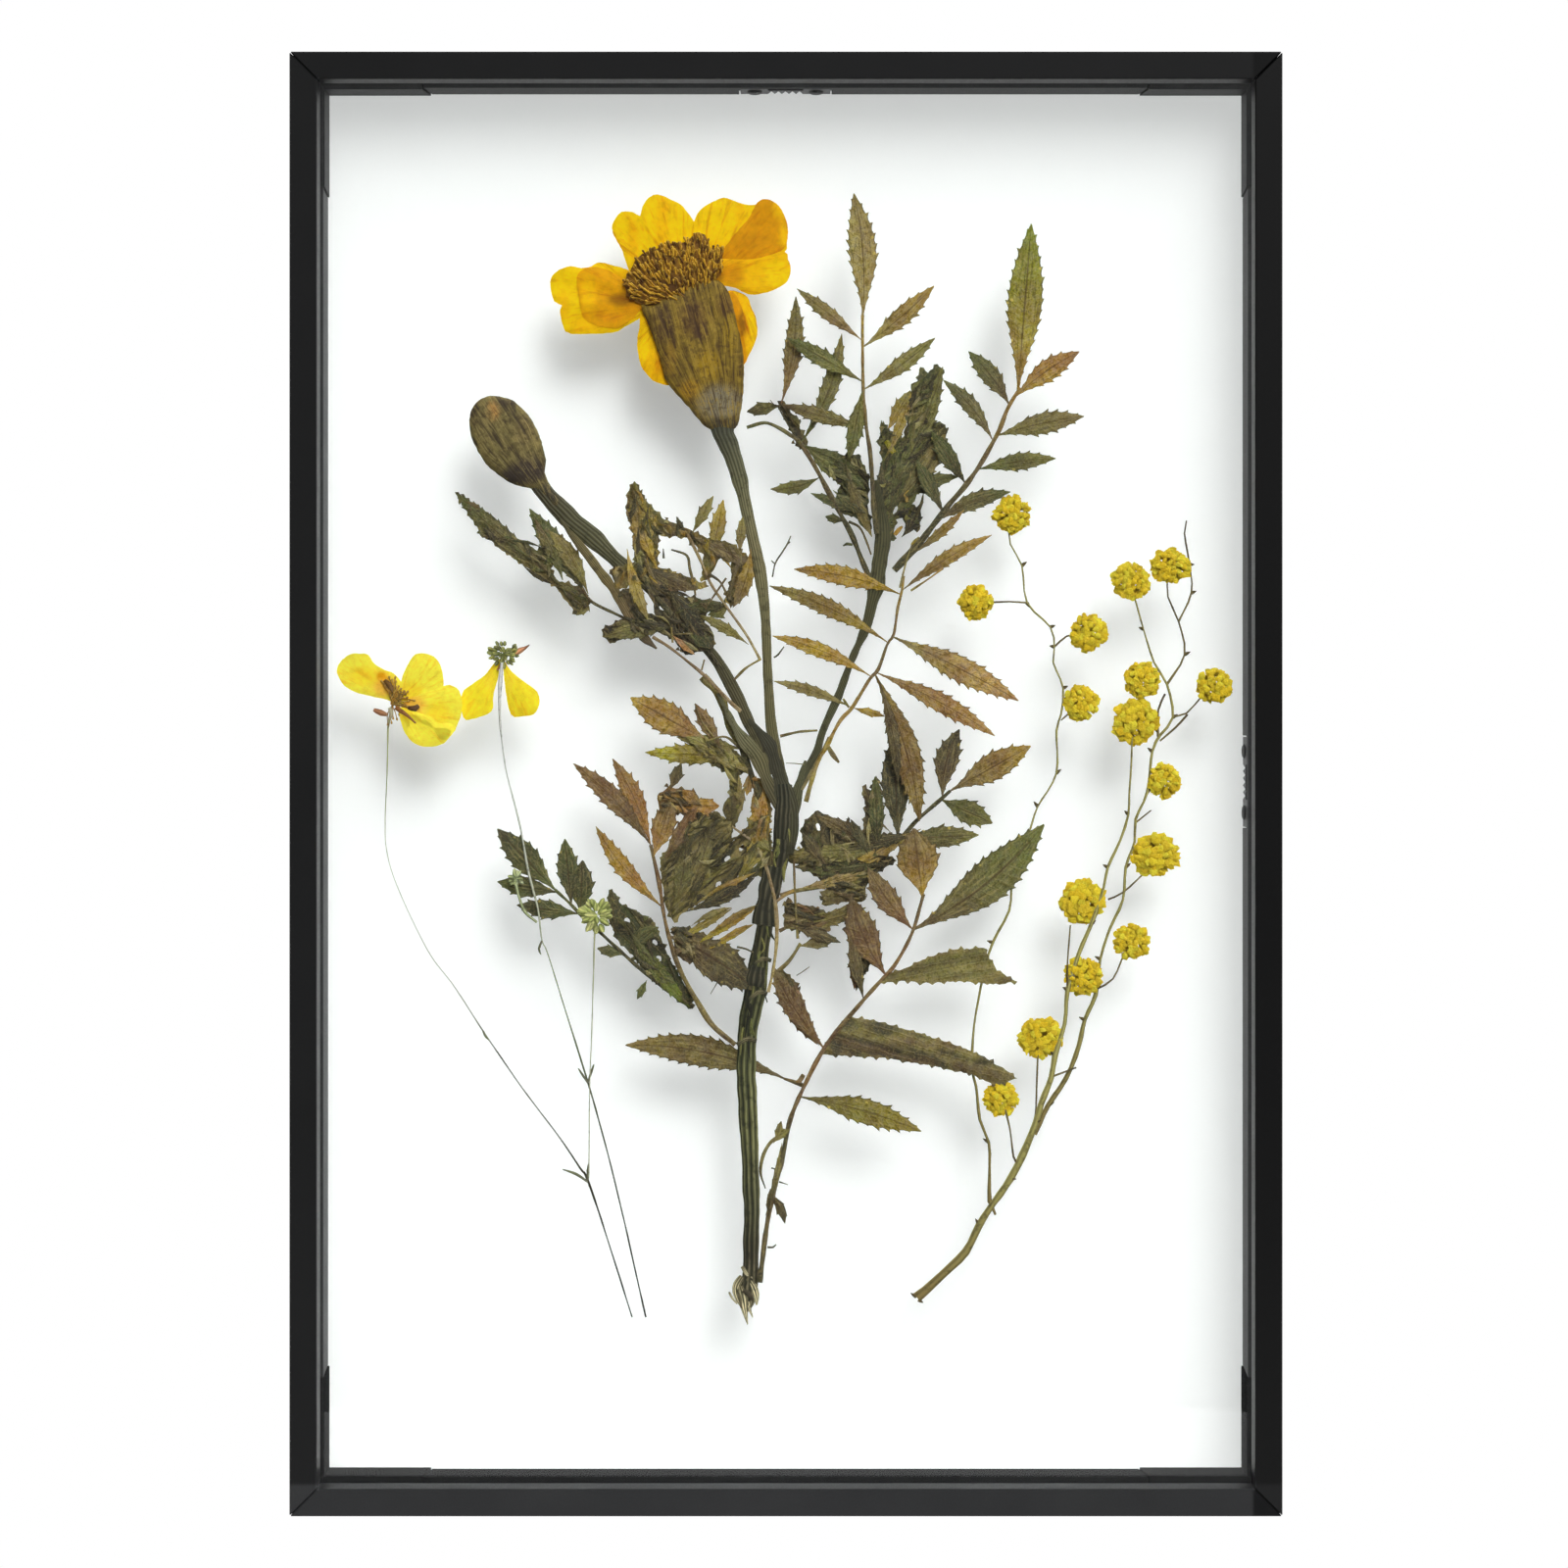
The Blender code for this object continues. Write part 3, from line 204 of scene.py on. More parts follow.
def black_finish(name, dark, light, roughness, grain, gloss, edge_at=None):
    """A black surface with fine grain; edge_at gives the half sizes at which the rails' outer edges lie, and brings
    painted light and shade by side and front edge lines that are part wear and part painted highlight.
    """
    material, tree, shader = new_finish(name)
    spot = put(tree, "ShaderNodeTexCoord").outputs["Object"]
    cloud = speck(tree, spot, 55.0, 3.0)
    fine = speck(tree, spot, grain, 2.0, 0.6)
    share = reckon(tree, "MULTIPLY_ADD", cloud, 0.6, times(tree, fine, 0.4))
    colour = blend(tree, share, (*dark, 1.0), (*light, 1.0))
    if edge_at:
        parts = put(tree, "ShaderNodeSeparateXYZ", [(0, spot)])
        across = reckon(tree, "ABSOLUTE", parts.outputs[0])
        up = reckon(tree, "ABSOLUTE", parts.outputs[2])
        edge = [spread(tree, value, line - 0.0004, line - 0.0001) for value, line in zip((across, up), edge_at)]
        front_edge = times(tree, reckon(tree, "MAXIMUM", *edge), spread(tree, parts.outputs[1], -0.0095, -0.0098))
        past_opening = reckon(tree, "MAXIMUM", spread(tree, across, 0.0996, 0.0998), spread(tree, up, 0.1496, 0.1498))
        side_wall_painted_light = times(tree, reckon(tree, "SUBTRACT", 1.0, past_opening), spread(tree, across, 0.0988, 0.0992))
        # Painted light and shade by place: the bottom rail and inner side walls lighter, the right rail darker.
        bottom_rail_painted_light = spread(tree, parts.outputs[2], -0.1480, -0.1490, 1.0, 3.1)
        right_rail_painted_shade = spread(tree, parts.outputs[0], 0.0985, 0.0995, 1.0, 0.32)
        shade = times(tree, times(tree, bottom_rail_painted_light, right_rail_painted_shade), reckon(tree, "MULTIPLY_ADD", side_wall_painted_light, 1.1, 1.0))
        grey = put(tree, "ShaderNodeCombineColor", [(0, shade), (1, shade), (2, shade)]).outputs[0]
        colour = blend(tree, 1.0, colour, grey, "MULTIPLY")
        # A thin lighter line along the outer front edges: part wear, part painted highlight.
        worn_and_highlit_edge = times(tree, front_edge, spread(tree, cloud, 0.35, 0.65, 0.25, 0.8))
        colour = blend(tree, worn_and_highlit_edge, colour, (0.055, 0.055, 0.057, 1.0))
    surface(tree, shader, colour, spread(tree, fine, 0.2, 0.8, roughness - 0.06, roughness + 0.08), gloss,
            fine, 0.12, 0.00008)
    return material


def dress(name, material):
    """Give a CAD node its finish."""
    nodes[name].data.materials.clear()
    nodes[name].data.materials.append(material)


for side, gloss in (("top", 0.24), ("bottom", 0.06), ("left", 0.26), ("right", 0.33)):
    dress("rail_" + side, black_finish("black anodised aluminium, " + side, (0.0106, 0.0109, 0.0115),
                                       (0.0206, 0.0210, 0.0215), 0.42, 2600.0, gloss, (0.10525, 0.15525)))


# The two panes are clear polished acrylic and hold the dried plants between them.
# They lie loose behind the rails' lip and show as a faint edge only.
clear_pane, tree, shader = new_finish("clear pane")
shader.inputs["Base Color"].default_value = (0.985, 0.995, 0.99, 1.0)
shader.inputs["Roughness"].default_value = 0.0
shader.inputs["IOR"].default_value = 1.5
shader.inputs["Transmission Weight"].default_value = 1.0
way = put(tree, "ShaderNodeLightPath")
let_through = put(tree, "ShaderNodeBsdfTransparent")
pane_mix = put(tree, "ShaderNodeMixShader",
               [(0, way.outputs["Is Shadow Ray"]), (1, shader.outputs[0]), (2, let_through.outputs[0])])
tree.links.new(pane_mix.outputs[0], tree.nodes["Material Output"].inputs["Surface"])
for name in ("pane_front", "pane_back"):
    dress(name, clear_pane)


# The liner holds the panes from behind: four straight strips and four corners, moulded in black plastic.
# Its faces are smooth and dull, with a fine moulded texture. Its tone is painted shade: lighter at the sides than at
# the top and bottom.
for place, gloss, share, names in (
        ("top", 0.08, 0.7, ("strip_top", "corner_top_left", "corner_top_right")),
        ("bottom", 0.0, 0.5, ("strip_bottom", "corner_bottom_left", "corner_bottom_right")),
        ("side", 0.12, 1.0, ("strip_left", "strip_right"))):
    # share scales the greys down for the top and bottom strips: painted shade.
    dark, light = [[value * share for value in grey] for grey in ((0.034, 0.0343, 0.035), (0.046, 0.0463, 0.047))]
    moulded = black_finish("black moulded liner, " + place, dark, light, 0.45, 3800.0, gloss)
    for name in names:
        dress("liner_" + name, moulded)


# Two sawtooth hangers of sheet steel are let into the liner, painted black and chipped in places.
# Each is held by two domed rivets, turned from one profile with a small dimple in the head.
painted, tree, shader = new_finish("black painted hanger")
spot = put(tree, "ShaderNodeTexCoord").outputs["Object"]
chips = spread(tree, speck(tree, spot, 900.0, 4.0, 0.7), 0.56, 0.70)
surface(tree, shader, blend(tree, chips, (0.02, 0.02, 0.021, 1.0), (0.16, 0.155, 0.15, 1.0)),
        spread(tree, chips, 0.0, 1.0, 0.42, 0.3), 0.5, speck(tree, spot, 2200.0), 0.2, 0.0001)
tree.links.new(chips, shader.inputs["Metallic"])
for side in ("top", "right"):
    dress("hanger_" + side, painted)


def rivet_head(node, inward):
    """A domed rivet where its CAD node is; inward points to the middle of the frame."""
    low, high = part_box(node)
    middle = (low + high) / 2
    reach = max(high[axis] - low[axis] for axis in (0, 2)) / 2
    radius = (high.y - low.y) / 2
    top = Vector([high[axis] if inward[axis] > 0 else low[axis] for axis in range(3)])
    crown = Vector([top[axis] if inward[axis] else middle[axis] for axis in range(3)])
    outline = [(0.0, -0.00012), (0.0004, -0.0001), (0.0007, 0.0), (0.0010, -0.00004), (0.0014, -0.0002),
               (0.0016, -0.00038), (radius, -0.0005), (0.0008, -0.0005), (0.0008, -0.00105), (0.0, -0.00105)]
    mesh = bpy.data.meshes.new(node + "_head")
    mesh.from_pydata([(across, 0.0, up) for across, up in outline], [(i, i + 1) for i in range(len(outline) - 1)], [])
    head = bpy.data.objects.new(node + "_head", mesh)
    bpy.context.scene.collection.objects.link(head)
    bpy.ops.object.select_all(action="DESELECT")
    head.select_set(True)
    bpy.context.view_layer.objects.active = head
    turned = head.modifiers.new("turned", "SCREW")
    turned.steps = turned.render_steps = 32
    turned.use_merge_vertices = True
    turned.merge_threshold = 0.00001
    bpy.ops.object.modifier_apply(modifier=turned.name)
    bpy.ops.object.mode_set(mode="EDIT")
    bpy.ops.mesh.select_all(action="SELECT")
    bpy.ops.mesh.normals_make_consistent(inside=False)
    bpy.ops.object.mode_set(mode="OBJECT")
    bpy.ops.object.shade_smooth()
    turn = Vector((0, 0, 1)).rotation_difference(Vector(inward)).to_matrix().to_4x4()
    mesh.transform(Matrix.Translation(crown) @ turn)
    mesh.materials.append(painted)
    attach(head, "root")
    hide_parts(node)


for number in (1, 2):
    rivet_head(f"rivet_top_{number}", (0, 0, -1))
    rivet_head(f"rivet_right_{number}", (-1, 0, 0))


# The marigold's stem and stalks are dried and pressed, with ribs along them that show light and dark.
# The bottom of the main stem is torn and frayed; joints and scars mark where the leaves left it.
STEP = 0.00021005
CENTRE_COLUMN, CENTRE_ROW = 777.9, 703.7
CENTRE_X, CENTRE_Z = -0.005, 0.020
FRONT = -0.010


def plan(column, row, depth):
    """A point of the plan, whose columns and rows count steps to the right and down from the photograph's
    upper left corner, at a depth in millimetres behind the front of the frame."""
    return Vector((CENTRE_X + (column - CENTRE_COLUMN) * STEP, depth * 0.001 + FRONT,
                   CENTRE_Z + (CENTRE_ROW - row) * STEP))


def tone(red, green, blue):
    """A colour as seen, made ready for the shader."""
    return tuple((value / 255 / 12.92) if value < 11 else ((value / 255 + 0.055) / 1.055) ** 2.4
                 for value in (red, green, blue))


def between(first, second, share):
    return tuple(a + (b - a) * share for a, b in zip(first, second))


class Sprig:
    """Collects the corners, faces, surface coordinates and tones of one dried piece."""

    def __init__(self):
        self.corners = []
        self.tones = []
        self.faces = []
        self.places = []

    def corner(self, place, colour, glands=0.0):
        self.corners.append(place)
        self.tones.append((*colour[:3], glands))
        return len(self.corners) - 1

    def face(self, corners, places):
        self.faces.append(corners)
        self.places.append(places)


def grow(sprig, name, material, replaced):
    """Make the collected shape an object that stands for CAD nodes."""
    mesh = bpy.data.meshes.new(name)
    mesh.from_pydata(sprig.corners, [], sprig.faces)
    tint = mesh.attributes.new("tone", "FLOAT_COLOR", "POINT")
    tint.data.foreach_set("color", [value for entry in sprig.tones for value in entry])
    sheet_map = mesh.uv_layers.new(name="surface")
    sheet_map.data.foreach_set("uv", [value for places in sprig.places for place in places for value in place])
    shape = bmesh.new()
    shape.from_mesh(mesh)
    bmesh.ops.recalc_face_normals(shape, faces=shape.faces)
    shape.to_mesh(mesh)
    shape.free()
    mesh.shade_smooth()
    mesh.set_sharp_from_angle(angle=math.radians(60))
    mesh.materials.append(material)
    piece = bpy.data.objects.new(name, mesh)
    bpy.context.scene.collection.objects.link(piece)
    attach(piece, "root")
    if replaced:
        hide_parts(*replaced)


def smooth_line(points, spacing):
    """Points along a smooth curve through the given ones; each may carry further numbers."""
    line = [Vector(point) for point in points]
    line = [line[0] * 2 - line[1], *line, line[-1] * 2 - line[-2]]
    result = []
    for before, first, second, after in zip(line, line[1:], line[2:], line[3:]):
        count = max(1, round((second.xy - first.xy).length / spacing))
        for number in range(count):
            share = number / count
            result.append(0.5 * (2 * first + (second - before) * share
                                 + (2 * before - 5 * first + 4 * second - after) * share ** 2
                                 + (3 * first - 3 * second + after - before) * share ** 3))
    return [*result, line[-2]]


def strand(sprig, points, depth, flat, colours, ribs=0, rib_depth=0.0, sides=10, uneven=0.0, seed=0, spacing=4.0):
    """A pressed stalk along points of column, row and width; its tones run from its first to its last point."""
    line = smooth_line(points, spacing)
    rings = []
    travelled = 0.0
    for number, here in enumerate(line):
        before = line[max(0, number - 1)].xy
        after = line[min(len(line) - 1, number + 1)].xy
        ahead = (after - before).normalized()
        side = Vector((-ahead.y, ahead.x))
        if number:
            travelled += (here.xy - before).length
        share = number / max(1, len(line) - 1)
        where = share * (len(colours) - 1)
        low = min(int(where), max(0, len(colours) - 2))
        colour = between(colours[low], colours[min(low + 1, len(colours) - 1)], where - low)
        swell = 1 + uneven * noise.noise(Vector((travelled * 0.07, seed, 0.5)))
        drift = 0.4 * uneven * here.z * noise.noise(Vector((travelled * 0.03, seed, 7.5)))
        ring = []
        for step in range(sides):
            turn = 2 * math.pi * step / sides
            size = 1 + rib_depth * math.cos(ribs * turn)
            across = math.cos(turn) * here.z / 2 * size * swell + drift
            place = here.xy + side * across
            ring.append(sprig.corner(plan(place.x, place.y, depth + math.sin(turn) * flat / 2 * size), colour))
        rings.append((ring, travelled / 100))
    for (first, start), (second, end) in zip(rings, rings[1:]):
        for step in range(sides):
            following = (step + 1) % sides
            left, right = step / sides, (step + 1) / sides
            sprig.face((first[step], first[following], second[following], second[step]),
                       ((left, start), (right, start), (right, end), (left, end)))
    for ring, end in (rings[0], rings[-1]):
        sprig.face(tuple(ring), tuple((step / sides, end) for step in range(sides)))


def own_look(tree):
    """The piece's own tone, its Object coordinates and its surface map."""
    return (put(tree, "ShaderNodeAttribute", attribute_name="tone").outputs["Color"],
            put(tree, "ShaderNodeTexCoord").outputs["Object"],
            put(tree, "ShaderNodeUVMap", uv_map="surface").outputs[0])


def stretch(tree, place, across, along):
    return put(tree, "ShaderNodeMapping", [(0, place), (3, (across, along, 1.0))]).outputs[0]


def wash(tree, colour, where, strength, shade):
    """Lay a shade over a colour where a pattern is."""
    return blend(tree, times(tree, where, strength), colour, (*shade, 1.0))


def stem_finish(name, ribs, contrast, light, dark):
    """Ribs, streaks and dark scars over the stalk's own tone; light says how much brighter its ribs are."""
    material, tree, shader = new_finish(name)
    tint, spot, place = own_look(tree)
    parts = put(tree, "ShaderNodeSeparateXYZ", [(0, place)])
    wander = speck(tree, place, 2.5, 2.0)
    around = reckon(tree, "MULTIPLY_ADD", wander, 0.03, parts.outputs[0])
    wave = reckon(tree, "SINE", times(tree, around, 2 * math.pi * ribs))
    streaks = speck(tree, stretch(tree, place, 26.0, 2.2), 1.6, 4.0, 0.65)
    ridge = reckon(tree, "MULTIPLY_ADD", streaks, 0.55, reckon(tree, "MULTIPLY_ADD", wave, 0.22, 0.22))
    share = times(tree, spread(tree, ridge, 0.50, 0.78), contrast)
    colour = blend(tree, share, tint, (*light, 1.0), "MULTIPLY")
    colour = wash(tree, colour, spread(tree, ridge, 0.48, 0.22), contrast, dark)
    blotch = spread(tree, speck(tree, spot, 620.0, 4.0, 0.65), 0.52, 0.66)
    colour = wash(tree, colour, blotch, 0.5, dark)
    surface(tree, shader, colour, 0.6, 0.25, reckon(tree, "ADD", ridge, times(tree, blotch, -0.3)), 0.55, 0.0003)
    return material


stem_dark = tone(60, 60, 44)
stem_tan = tone(120, 112, 78)
ribbed_stem = stem_finish("ribbed stem", 9, 1.0, (2.9, 2.8, 3.0), tone(40, 41, 30))

main_stem = Sprig()
strand(main_stem, [(803, 800, 11), (800, 822, 16), (797, 870, 17), (790, 900, 16), (778, 957, 16), (771, 1008, 22),
    (764, 1047, 20), (762, 1075, 19), (763, 1130, 18), (766, 1185, 17), (767, 1239, 16), (766, 1294, 15),
    (764, 1316, 18), (763, 1330, 12), (762, 1338, 3)], 8.45, 1.5,
    [tone(58, 58, 44), tone(56, 54, 40), tone(56, 52, 40), tone(68, 68, 42), tone(72, 74, 46), tone(88, 90, 56),
    tone(96, 96, 60), tone(80, 80, 54), tone(62, 58, 42), tone(110, 104, 76)], ribs=9, rib_depth=0.07, sides=72,
    uneven=0.1, seed=3)
pale_tear = tone(196, 188, 146)
for fray in ([(757, 1302, 5), (751, 1310, 8), (750, 1318, 8), (754, 1328, 5), (757, 1334, 1)],
             [(763, 1304, 6), (768, 1312, 8), (771, 1321, 7), (772, 1331, 2)],
             [(755, 1312, 6), (757, 1324, 10), (760, 1338, 6), (763, 1351, 1)],
             [(762, 1318, 4), (764, 1332, 4), (768, 1344, 1)],
             [(757, 1292, 3), (762, 1300, 4), (768, 1304, 2)],
             [(744, 1318, 3), (747, 1324, 4), (752, 1330, 2)]):
    strand(main_stem, fray, 7.95, 0.5, [tone(120, 112, 80), pale_tear, between(pale_tear, stem_dark, 0.3)], sides=10,
           uneven=0.5, seed=fray[0][0])
strand(main_stem, [(758, 1316, 4), (763, 1319, 6), (768, 1326, 4)], 7.45, 0.3, [tone(64, 58, 44), tone(84, 74, 54)],
    sides=8, uneven=0.6, seed=2)
strand(main_stem, [(751, 1313, 2), (755, 1322, 3), (757, 1334, 2)], 7.45, 0.3, [tone(92, 86, 62), tone(120, 110, 80)],
    sides=8, uneven=0.6, seed=4)
for scar in ([(752, 1066, 5), (762, 1060, 6), (772, 1062, 4)], [(764, 1020, 4), (774, 1012, 5), (783, 1014, 4)],
             [(770, 984, 4), (778, 978, 5), (787, 980, 4)], [(772, 944, 4), (782, 940, 5), (790, 943, 4)]):
    strand(main_stem, scar, 7.75, 0.35, [stem_dark, stem_tan, stem_dark], sides=8, seed=scar[0][1])
dice = random.Random(9)
for number in range(26):
    row = 842 + number * 8.6 + dice.uniform(-3, 3)
    middle = 799 - max(0.0, row - 860) * 0.19
    edge = middle + dice.choice((-1, 1)) * dice.uniform(2, 8)
    shade = dice.choice([tone(40, 40, 30), tone(132, 130, 70), tone(52, 52, 38), tone(108, 112, 60)])
    strand(main_stem, [(edge, row, 1.5),
                       (edge + dice.uniform(-3, 3), row + dice.uniform(6, 14), dice.uniform(2, 4.5)),
                       (edge + dice.uniform(-4, 4), row + dice.uniform(16, 30), 1.0)],
           7.75, 0.3, [shade, shade], sides=8, uneven=0.5, seed=number)
for joint in ([(789, 884, 15), (785, 902, 21), (782, 924, 23), (779, 944, 19)],
              [(774, 986, 17), (772, 996, 21), (770, 1006, 15)],
              [(798, 800, 12), (799, 828, 15), (797, 856, 12)]):
    strand(main_stem, joint, 7.72, 0.4, [tone(55, 55, 41), tone(62, 59, 43), tone(50, 49, 35)], ribs=9,
           rib_depth=0.05, sides=30, uneven=0.4, seed=joint[0][0])
grow(main_stem, "marigold_stem_pressed", ribbed_stem, ["marigold_stem"])

stalk_ribs = stem_finish("ribbed stalk", 15, 0.7, (1.75, 1.7, 1.65), tone(58, 54, 38))
flower_stalk = Sprig()
strand(flower_stalk, [(737, 430, 26), (738, 443, 22), (742, 452, 20), (752, 480, 17), (763, 526, 12), (776, 587, 13),
    (781, 633, 10), (784, 694, 10), (787, 740, 11), (794, 780, 13), (799, 806, 15)], 8.45, 1.1,
    [tone(70, 72, 60), tone(116, 114, 82), tone(136, 128, 92), tone(128, 122, 84), tone(120, 114, 78),
    tone(112, 106, 72), tone(84, 80, 58)], ribs=15, rib_depth=0.02, sides=60, uneven=0.12, seed=5)
for depth, sheath, tones in (
        (7.95, [(733, 707, 4), (752, 745, 9), (772, 773, 13), (783, 797, 14), (795, 822, 12), (800, 850, 5)],
         [tone(112, 110, 78), tone(124, 122, 90), tone(114, 108, 74), tone(96, 90, 64), tone(76, 72, 54)]),
        (7.80, [(764, 734, 3), (776, 748, 9), (788, 764, 12), (796, 790, 13), (804, 818, 16), (808, 846, 14),
                (806, 872, 5)],
         [tone(74, 72, 56), tone(68, 66, 52), tone(80, 78, 58), tone(72, 70, 50)]),
        (8.02, [(822, 776, 2), (816, 800, 8), (812, 824, 11), (807, 850, 10), (802, 880, 3)],
         [tone(104, 104, 76), tone(94, 92, 66), tone(76, 74, 54)]),
        (7.98, [(776, 842, 2), (782, 866, 9), (784, 892, 12), (780, 916, 6)],
         [tone(88, 80, 56), tone(104, 90, 58), tone(72, 66, 48)])):
    strand(flower_stalk, sheath, depth, 0.3, tones, ribs=15, rib_depth=0.04, sides=40, uneven=0.5, seed=sheath[0][0])
grow(flower_stalk, "marigold_flower_stalk_pressed", stalk_ribs, ["marigold_flower_stalk"])

bud_stalk = Sprig()
strand(bud_stalk, [(548, 492, 16), (560, 508, 19), (579, 527, 21), (602, 546, 20), (633, 575, 14), (651, 590, 11),
    (676, 614, 11), (697, 636, 11), (720, 660, 11), (735, 680, 12), (751, 709, 13), (764, 738, 12), (776, 762, 10),
    (788, 790, 9)], 8.45, 1.1, [tone(78, 72, 54), tone(92, 90, 62), tone(90, 86, 60), tone(84, 80, 56),
    tone(92, 86, 60), tone(88, 84, 58)], ribs=15, rib_depth=0.02, sides=60, uneven=0.16, seed=7)
strand(bud_stalk, [(572, 530, 4), (590, 554, 8), (606, 576, 10), (620, 594, 9), (632, 612, 10), (644, 632, 9),
    (657, 650, 8), (670, 662, 3)], 8.2, 0.5, [tone(92, 86, 58), tone(124, 112, 72), tone(132, 116, 72),
    tone(128, 108, 76), tone(104, 90, 66)], sides=12, uneven=0.4, seed=9)
grow(bud_stalk, "marigold_bud_stalk_pressed", stalk_ribs, ["marigold_bud_stalk"])

side_branch = Sprig()
strand(side_branch, [(805, 815, 7), (814, 803, 8), (832, 770, 8), (839, 748, 8), (855, 710, 8), (869, 674, 8),
    (883, 640, 9), (891, 610, 13), (897, 580, 17), (900, 552, 15), (899, 520, 11), (893, 490, 5)], 8.45, 1.0,
    [tone(88, 86, 66), tone(92, 92, 64), tone(88, 86, 60), tone(90, 88, 60), tone(80, 78, 54)], ribs=15,
    rib_depth=0.03, sides=60, uneven=0.25, seed=11)
strand(side_branch, [(818, 806, 3), (828, 788, 4), (841, 764, 4), (846, 752, 3)], 8.0, 0.4,
    [tone(170, 155, 105), tone(150, 140, 95)], sides=8, seed=12)
grow(side_branch, "marigold_side_branch_pressed", stalk_ribs, ["marigold_side_branch"])


# The open marigold's ray petals are thin and silky, bright yellow with amber where they fold or overlap.
# Each is one sheet that runs to its base under the disc, with fine veins and shallow pleats along it.
def rim_points(outline, spacing, jitter, spikes, dice):
    """Points close together along a closed outline, with uneven edges and spines where asked."""
    total = len(outline)
    turning = sum(outline[i][0] * outline[(i + 1) % total][1] - outline[(i + 1) % total][0] * outline[i][1]
                  for i in range(total))
    outward = 1 if turning > 0 else -1
    rim = []
    since = 0
    for index in range(total):
        first = Vector(outline[index])
        second = Vector(outline[(index + 1) % total])
        along = second - first
        out = Vector((along.y, -along.x)).normalized() * outward
        count = max(1, round(along.length / spacing))
        for number in range(count):
            point = first + along * (number / count) + out * dice.uniform(-jitter, jitter)
            since += 1
            if spikes and number and since > 3 and dice.random() < 0.6:
                point += out * spikes * dice.uniform(0.6, 1.4)
                since = 0
            rim.append(point)
    return rim


def rounded(outline, spacing):
    """A closed outline made smooth."""
    closed = [outline[-1], *outline, outline[0], outline[1]]
    line = smooth_line(closed, spacing)
    start = min(range(len(line)), key=lambda i: (line[i] - Vector(outline[0])).length)
    ends = [i for i in range(start + 3, len(line)) if (line[i] - Vector(outline[0])).length < 0.01]
    end = ends[0] if ends else len(line) - 1
    return [tuple(point) for point in line[start:end]]


def inside(point, outline):
    odd = False
    for first, second in zip(outline, outline[1:] + outline[:1]):
        if (first[1] > point[1]) != (second[1] > point[1]):
            if point[0] < (second[0] - first[0]) * (point[1] - first[1]) / (second[1] - first[1]) + first[0]:
                odd = not odd
    return odd


def off_edge(point, rim):
    """How far a point is from the outline."""
    best = 1e9
    for first, second in zip(rim, rim[1:] + rim[:1]):
        along = second - first
        share = max(0.0, min(1.0, (point - first).dot(along) / max(1e-9, along.length_squared)))
        best = min(best, (first + along * share - point).length_squared)
    return math.sqrt(best)


def sheet(sprig, outline, depth, thickness, colour_at, place_at, height_at,
          pitch=5.0, spacing=3.5, jitter=0.0, spikes=0.0, seed=0, glands=0.0, holes=()):
    """A thin closed sheet inside an outline; height_at gives how far its front and back stand from its depth."""
    dice = random.Random(seed)
    rim = rim_points(outline, spacing, jitter, spikes, dice)
    points = list(rim)
    loops = [list(range(len(rim)))]
    for hole in holes:
        loop = rim_points(hole, spacing, 0.5, 0.0, dice)
        loops.append(list(range(len(points), len(points) + len(loop))))
        points += loop
    left = min(point.x for point in rim)
    right = max(point.x for point in rim)
    top = min(point.y for point in rim)
    bottom = max(point.y for point in rim)
    outer = [tuple(point) for point in rim]
    row = top
    shift = 0.0
    while row < bottom:
        column = left + shift
        while column < right:
            point = Vector((column + dice.uniform(-0.3, 0.3) * pitch, row + dice.uniform(-0.3, 0.3) * pitch))
            clear = inside(point, outer) and not any(inside(point, hole) for hole in holes)
            if clear and off_edge(point, rim) > 0.45 * pitch:
                points.append(point)
            column += pitch
        row += pitch * 0.87
        shift = pitch / 2 - shift
    edges = [(loop[i], loop[(i + 1) % len(loop)]) for loop in loops for i in range(len(loop))]
    flat, _, triangles, _, _, _ = geometry.delaunay_2d_cdt(points, edges, [], 0, 0.01)
    faces = []
    for face in triangles:
        middle = sum((flat[i] for i in face), Vector((0.0, 0.0))) / 3
        if inside(middle, outer) and not any(inside(middle, hole) for hole in holes):
            faces.append(tuple(face))
    used = {}
    for face in faces:
        for pair in zip(face, face[1:] + face[:1]):
            used[frozenset(pair)] = used.get(frozenset(pair), 0) + 1
    border = {i for pair, count in used.items() if count == 1 for i in pair}
    front = {}
    back = {}
    places = {}
    for index in sorted({i for face in faces for i in face}):
        point = flat[index]
        edge = 0.0 if index in border else off_edge(point, rim)
        before, behind = height_at(point, edge)
        colour = colour_at(point, edge)
        thin = 0.35 if index in border else 1.0
        front[index] = sprig.corner(plan(point.x, point.y, depth - before - thickness * thin / 2), colour, glands)
        back[index] = sprig.corner(plan(point.x, point.y, depth + behind + thickness * thin / 2), colour, glands)
        places[index] = place_at(point, edge)
    for face in faces:
        a, b, c = face
        sprig.face((front[a], front[b], front[c]), (places[a], places[b], places[c]))
        sprig.face((back[c], back[b], back[a]), (places[c], places[b], places[a]))
        for i, j in ((a, b), (b, c), (c, a)):
            if used[frozenset((i, j))] == 1:
                sprig.face((front[j], front[i], back[i], back[j]), (places[j], places[i], places[i], places[j]))


def painted_by(base, spots):
    """A tone for each point: the base tone with soft spots, each given as place, size across and down, and tone."""
    def colour_at(point, edge):
        colour = base
        for column, row, across, down, spot_tone in spots:
            away = math.hypot((point.x - column) / across, (point.y - row) / down)
            share = max(0.0, min(1.0, 1.6 - 1.6 * away))
            colour = between(colour, spot_tone, share * share * (3 - 2 * share))
        return colour
    return colour_at


